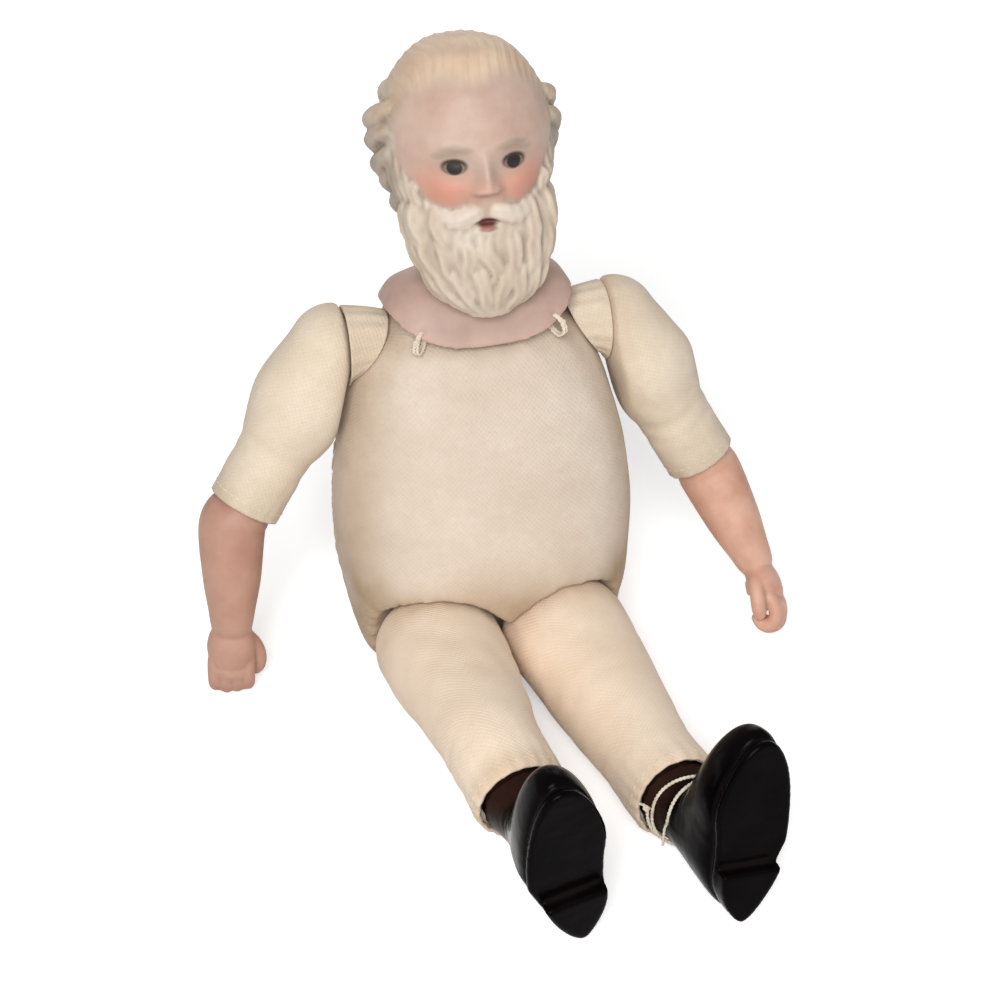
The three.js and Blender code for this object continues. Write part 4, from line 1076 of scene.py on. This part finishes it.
def head_paint(tree, at, tint):
    """Skin, hair and beard in thin colour over the bisque, then the features, as a doll painter lays them,
    with painted shade on the hair at the sides and in the hollows of the eyes.
    """
    hair, on_plate, at_side, on_lip = [node(tree, "ShaderNodeAttribute", attribute_name=name)["Fac"]
                                       for name in ("hair", "plate", "side_hair", "moustache")]
    height = node(tree, "ShaderNodeSeparateXYZ", {0: at})[2]
    _, washed = pattern(tree, at, scale=85.0, detail=3.0, low=0.35, high=0.7)
    up = node(tree, "ShaderNodeMapRange", {"Value": height, "From Min": 0.05, "From Max": 0.07})[0]
    # the hair at the sides and back is painted a darker grey as painted shade, going over to the cream crown
    # higher up
    pale_hair, side_hair, crown_hair, plate_colour = [
        layered(tree, light, (washed, dark)) for light, dark in (
            ("#D1C2AF", "#C4B29E"), ("#B5A696", "#978779"), ("#E1C7AD", "#D2B59A"), ("#CDAE9E", "#B99A8D"))]
    hair_colour = layered(tree, pale_hair, (at_side, layered(tree, side_hair, (up, crown_hair))),
                          (on_lip, "#D9CBBB"))
    tint = layered(tree, tint, (on_plate, plate_colour))
    # cheeks and nose are tinted and the hollows of the eyes given painted shade before the hair, brows, eyes
    # and mouth after it:
    # each spot has a middle and half sizes in millimetres, a colour, the softness of its edge and an amount
    for spot in (((11.8, -20, 41.0), (6.8, 30, 5.4), "#D58C74", 0.95, 0.75),
                 ((0, -28, 40.8), (2.6, 9, 2.4), "#D9A391", 0.8, 0.45),
                 # painted shade in the hollows of the eyes
                 ((8.8, -24, 48.2), (5.6, 20, 4.0), "#A89485", 0.7, 0.6)):
        tint = painted(tree, at, tint, *spot)
    tint = layered(tree, tint, (hair, hair_colour))
    brows = [((middle, -26, 53.1 - 0.14 * (middle - 8.2) ** 2), (half, 20, 0.95), "#A08F7D", 0.6, amount)
             for middle, half, amount in ((5.8, 2.4, 0.5), (8, 2.6, 0.6), (10.2, 2.6, 0.6), (12.4, 2.2, 0.5))]
    for spot in (*brows, ((8.8, -25, 47.7), (3.7, 8, 2.3), "#3C2C21", 0.2, 1.0),
                 ((8.8, -25, 47.1), (3.1, 8, 1.7), "#83705F", 0.2, 1.0),
                 ((8.7, -25, 47.4), (2.2, 8, 2.1), "#231812", 0.14, 1.0),
                 ((0, -25, 29.9), (3.2, 9, 1.3), "#5E2B28", 0.35, 1.0),
                 ((0, -26, 28.3), (2.7, 9, 0.8), "#9A6258", 0.4, 0.8)):
        tint = painted(tree, at, tint, *spot)
    return tint


# dust darkens the hollows, less where eyes and mouth are painted, and the plate lies in the beard's shadow
head_bisque = bisque("head_bisque", "#CAAF9F", "#BF9E8E", "#7F7066", head_paint)
features = np.exp(-((np.abs(x) - 8.8) / 4.5) ** 2 - ((z - 47.3) / 3.2) ** 2) \
    + np.exp(-(x / 4.5) ** 2 - ((z - 29.4) / 2.6) ** 2)
on_hair = np.maximum(modelled, combed)
dust_and_shadow = deep * (0.3 + 0.5 * on_hair) * (1 - np.clip(features, 0, 1))
# painted shadow of the beard on the plate
beard_shadow = np.exp(-(x / 21) ** 2) * step(-11, -3, z) * step(-4, 6, -y)
dust_and_shadow += 0.4 * plate * (1 - modelled) * beard_shadow
# where the hair gets painted shade at the sides and back, and the crown colour above
at_sides = step(-13, -6, y + 3 * np.sin(z / 3)) * step(20, 24, z)
give(head, plate_place, hollow=np.clip(dust_and_shadow, 0, 1), hair=on_hair, plate=plate, moustache=moustached,
     side_hair=np.maximum(at_sides, combed * step(54, 60, z)))
head.data.materials.append(head_bisque)
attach(head, "torso")
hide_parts("shoulder_head")


# ---- Sewing and tying threads ----
# Stout two-ply cotton, waxed and gone ivory with age: the stitches that tie the plate to the body, the ties
# in the grooves of the castings, a thread wound round the left boot, and the running stitches in the cloth.

def thread_colour(tree):
    at = node(tree, "ShaderNodeTexCoord")["Object"]
    fluff = node(tree, "ShaderNodeTexNoise", {"Vector": at, "Scale": 2600.0, "Detail": 2.0})["Fac"]
    _, grimed = pattern(tree, at, scale=210.0, detail=2.0, low=0.4, high=0.7, most=0.7)
    bump = node(tree, "ShaderNodeBump", {"Height": fluff, "Strength": 0.6, "Distance": 0.0001})["Normal"]
    return {"Base Color": layered(tree, "#E9DECB", (grimed, "#C9B8A0")), "Normal": bump}


cotton_thread = shader("cotton_thread", "two-ply waxed cotton thread", thread_colour, **{
    "Roughness": 0.85, "Specular IOR Level": 0.3, "Sheen Weight": 0.2, "Sheen Roughness": 0.4})
thread_half = 0.55
ply_pitch = 2.3


def twine(line, side, half=thread_half):
    """Two plies laid round each other along a line of points."""
    level, other = across(line, side)
    run = np.concatenate([[0], np.cumsum(np.linalg.norm(np.diff(line, axis=0), axis=1))])
    plies = []
    for start in (0, math.pi):
        twist = (run * 2 * math.pi / ply_pitch + start)[:, None]
        lay = line + 0.48 * half * (level * np.cos(twist) + other * np.sin(twist))
        plies.append(tube("ply", lay, side, 0.56 * half, 0.56 * half, sides=8))
    return plies


def knot(middle, size, seed):
    """A pulled knot: a short thread wound about itself."""
    rng = np.random.default_rng(seed)
    ways = rng.normal(size=(2, 3))
    first = ways[0] / np.linalg.norm(ways[0])
    second = np.cross(first, ways[1])
    second /= np.linalg.norm(second)
    third = np.cross(first, second)
    t = np.linspace(0, 2 * math.pi, 70)[:, None]
    line = middle + size * ((np.sin(t) + 2 * np.sin(2 * t)) * first + (np.cos(t) - 2 * np.cos(2 * t))
                            * second - np.sin(3 * t) * third) / 3
    return tube("knot", line, third + 0.3 * first, 0.42, 0.42, sides=8)


def sewn_on(name, parts, body_name, node_name):
    made = joined(name, parts)
    made.data.materials.append(cotton_thread)
    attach(made, body_name)
    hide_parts(node_name)


# each corner of the plate is held by two turns of thread, pulled close to the rim
for index, corner in enumerate(("front_right", "front_left", "back_right", "back_left")):
    edge, through, along_edge, up_wall = stitch_places[index]
    parts = []
    for shift in (-0.62, 0.62):
        t = np.linspace(0, 2 * math.pi, 60)[:, None]
        line = edge + along_edge * (shift * (0.6 - 0.4 * np.sin(t))) + up_wall * (3.3 * np.sin(t)) \
            + through * (2.5 * np.sign(np.cos(t)) * np.abs(np.cos(t)) ** 0.75)
        parts += twine(moved(line, plate_place), turned(plate_place, along_edge))
    parts.append(knot(moved(edge + through * 2.7 - up_wall * 0.4, plate_place), size=0.75, seed=index))
    sewn_on(f"plate_thread_{corner}", parts, "torso", f"plate_stitch_{corner}")

# two turns round the left boot's ankle, wound lower at each half turn but one, with a knot and two loose ends
left_boot = knee_places["left"] @ turn(toes_out["left"], "Z") @ Matrix.Diagonal((-1, 1, 1, 1))
above_cloth = 0.85
turns = np.linspace(0, 2, 241)
drops = along([(3,), (8.5,), (4.5,), (11,), (12,)], turns / 2)[:, 0]
wound = foot_points(1 - drops / 48, 2 * math.pi * turns, above_cloth) + (0, 0, foot_floor)
sideways = turned(left_boot, (0, 0, 1))
lace = twine(moved(wound, left_boot), sideways)
for end, near, drop in ((wound[0], wound[4], (1.6, 1.0, 2.0)), (wound[-1], wound[-5], (2.6, 2.2, -4.0))):
    away = (end - near) / np.linalg.norm(end - near)
    tail = spline([end, end + away * 1.2 + (0.4, 0.3, 0), end + away * 1.8 + drop], count=24)
    lace += twine(moved(tail, left_boot), sideways, thread_half * 0.8)
lace.append(knot(moved(wound[0] + (0.3, 0, 0), left_boot), size=0.8, seed=9))
sewn_on("boot_thread_left", lace, "boot_left", "boot_lace_left")

# the ties stay as they are in the grooves
for name in ("right", "left"):
    for tie in (f"forearm_tie_{name}", f"boot_tie_{name}"):
        for place in frame["nodes"][tie].material_slots:
            place.material = cotton_thread


def running_stitches():
    """A tree that lays stitches along a seam: spaced, a little uneven, each a short pulled-in thread."""
    tree = bpy.data.node_groups.new("running_stitches", "GeometryNodeTree")
    for label, kind in (("Seam", "Geometry"), ("Gap", "Float"), ("Length", "Float"), ("Width", "Float"),
                        ("Seed", "Int"), ("Thread", "Material")):
        tree.interface.new_socket(label, in_out="INPUT", socket_type=f"NodeSocket{kind}")
    tree.interface.new_socket("Stitches", in_out="OUTPUT", socket_type="NodeSocketGeometry")
    given = node(tree, "NodeGroupInput")
    spots_on_seam = node(tree, "GeometryNodeCurveToPoints", {"Curve": given["Seam"], "Length": given["Gap"]},
                         mode="LENGTH")
    bead = node(tree, "GeometryNodeMeshUVSphere", {"Segments": 8, "Rings": 5, "Radius": 0.5})["Mesh"]
    size = node(tree, "ShaderNodeCombineXYZ", {0: given["Width"], 1: given["Width"], 2: given["Length"]})[0]
    uneven = node(tree, "FunctionNodeRandomValue", {
        0: (0.85, 0.85, 0.8), 1: (1.1, 1.1, 1.1), "Seed": given["Seed"]}, data_type="FLOAT_VECTOR")[0]
    scale = node(tree, "ShaderNodeVectorMath", {0: size, 1: uneven}, operation="MULTIPLY")[0]
    placed = node(tree, "GeometryNodeInstanceOnPoints",
                  {"Points": spots_on_seam["Points"], "Instance": bead, "Rotation": spots_on_seam["Rotation"],
                   "Scale": scale})["Instances"]
    real = node(tree, "GeometryNodeRealizeInstances", {"Geometry": placed})["Geometry"]
    done = node(tree, "GeometryNodeSetMaterial", {"Geometry": real, "Material": given["Thread"]})["Geometry"]
    node(tree, "NodeGroupOutput", {"Stitches": done})
    return tree


stitch_tree = running_stitches()


def stitched(name, lines, body_name, seed):
    """Running stitches along some lines on the cloth, as one plain mesh that rides on a body."""
    drawn = bpy.data.curves.new(name, "CURVE")
    drawn.dimensions = "3D"
    for line in lines:
        run = drawn.splines.new("POLY")
        run.points.add(len(line) - 1)
        run.points.foreach_set("co", np.column_stack([np.asarray(line) * 0.001, np.ones(len(line))]).ravel())
    seam = shown(name, drawn)
    laid = seam.modifiers.new("stitches", "NODES")
    laid.node_group = stitch_tree
    values = {"Gap": 0.0026, "Length": 0.0017, "Width": 0.00042, "Seed": seed, "Thread": cotton_thread}
    for item in stitch_tree.interface.items_tree:
        if item.in_out == "INPUT" and item.name in values:
            laid[item.identifier] = values[item.name]
    mesh = plain_mesh(seam)
    bpy.data.objects.remove(seam)
    made = shown(name, mesh)
    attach(made, body_name)


def onto(made, starts, ends):
    """Where rays from some starts towards some ends first meet an object's skin, a little proud of it."""
    skin, proud = BVHTree.FromObject(made, bpy.context.evaluated_depsgraph_get()), 0.05
    line = []
    for start, end in zip(starts, ends):
        way = (end - start) / np.linalg.norm(end - start)
        hit = skin.ray_cast(Vector(start * 0.001), Vector(way))[0]
        if hit:
            line.append(np.array(hit) * 1000 - way * proud)
    return line


heights = np.arange(7, 105, 1.5)
side_seams = []
for sign in (-1, 1):
    starts = np.column_stack([0 * heights + sign * 80, seam_back + 1.9 + heights * spine, heights])
    side_seams.append(onto(body, starts, starts * (0, 1, 1)))
stitched("body_seam_stitches", side_seams, "torso", seed=3)

above_hem = 3.2
for name, sign in (("right", -1), ("left", 1)):
    for label, cloth, place, hem, half, body_name in (
            ("sleeve", f"arm_muslin_{name}", elbow_places[name], arm_hem, elbow_radius, "forearm"),
            ("leg", f"leg_muslin_{name}", knee_places[name], leg_hem, knee_radius, "boot")):
        angle = np.linspace(0, 2 * math.pi, 120)
        ring = np.column_stack([np.cos(angle), np.sin(angle), 0 * angle])
        drop = np.array((0, 0, above_hem - hem))
        line = onto(bpy.data.objects[cloth], moved(ring * (half + 8) + drop, place),
                    moved(ring * 2 + drop, place))
        stitched(f"{label}_hem_stitches_{name}", [line], f"{body_name}_{name}", seed=5 + sign)


# ---- Stage, light and camera ----
# A white sweep of paper under soft light, seen from above and a little from the doll's right.

floor_paper = bpy.data.materials.new("white_paper")
floor_paper.use_nodes = True
tree = floor_paper.node_tree
tree.nodes.clear()
rays = node(tree, "ShaderNodeLightPath")
seen = node(tree, "ShaderNodeMath", {0: rays["Is Camera Ray"], 1: rays["Is Glossy Ray"]},
            operation="MAXIMUM")[0]
seen = node(tree, "ShaderNodeMath", {0: seen, 1: rays["Is Transmission Ray"]}, operation="MAXIMUM")[0]
away = node(tree, "ShaderNodeVectorMath", {0: node(tree, "ShaderNodeNewGeometry")["Position"]},
            operation="LENGTH")["Value"]
evened_out = node(tree, "ShaderNodeMapRange", {"Value": away, "From Min": 0.3, "From Max": 2.0,
                                               "To Min": 0.42, "To Max": 0.8})[0]
lift = node(tree, "ShaderNodeMath", {0: seen, 1: evened_out}, operation="MULTIPLY")[0]
paper = node(tree, "ShaderNodeBsdfDiffuse", {"Color": linear("#EDEDED"), "Roughness": 1.0})[0]
glow = node(tree, "ShaderNodeEmission", {"Color": (1, 1, 1, 1), "Strength": lift})[0]
both = node(tree, "ShaderNodeAddShader", {0: paper, 1: glow})[0]
node(tree, "ShaderNodeOutputMaterial", {"Surface": both})
floor_half = 3000
floor = piece("floor", [(x * floor_half, y * floor_half, 0) for x, y in ((-1, -1), (1, -1), (1, 1), (-1, 1))],
              [(0, 1, 2, 3)])
floor.data.materials.append(floor_paper)

world = bpy.data.worlds.new("studio")
bpy.context.scene.world = world
world.use_nodes = True
tree = world.node_tree
tree.nodes.clear()
rays = node(tree, "ShaderNodeLightPath")
seen = node(tree, "ShaderNodeMath", {0: rays["Is Camera Ray"], 1: rays["Is Transmission Ray"]},
            operation="MAXIMUM")[0]
level = node(tree, "ShaderNodeMapRange", {"Value": seen, "To Min": 0.33, "To Max": 1.0})[0]
light = node(tree, "ShaderNodeBackground", {"Color": (1, 1, 1, 1), "Strength": level})[0]
node(tree, "ShaderNodeOutputWorld", {"Surface": light})

lit_spot = Vector((0, -0.04, 0.08))
for name, place, size, power in (("key", (-0.35, -1.0, 0.72), 0.6, 12.6),
                                 ("fill", (0.9, -0.6, 0.5), 0.8, 0.4), ("back", (0.25, 1.1, 0.55), 0.9, 3.5)):
    lamp = bpy.data.lights.new(name, "AREA")
    lamp.size = size
    lamp.energy = power
    lamp_object = shown(name, lamp)
    lamp_object.location = place
    lamp_object.rotation_euler = (lit_spot - Vector(place)).to_track_quat("-Z", "Y").to_euler()

azimuth, elevation, distance = math.radians(-13.5), math.radians(30), 0.69
looked_at = Vector((-0.0047, -0.0377, 0.077))
back = Vector((math.sin(azimuth) * math.cos(elevation), -math.cos(azimuth) * math.cos(elevation),
               math.sin(elevation)))
view = bpy.data.cameras.new("camera")
view.lens, view.sensor_width, view.clip_start, view.clip_end = 85, 36, 0.01, 20
camera = shown("camera", view)
camera.location = looked_at + back * distance
camera.rotation_euler = back.to_track_quat("Z", "Y").to_euler()
bpy.context.scene.camera = camera
bpy.context.scene.view_settings.view_transform = "Standard"
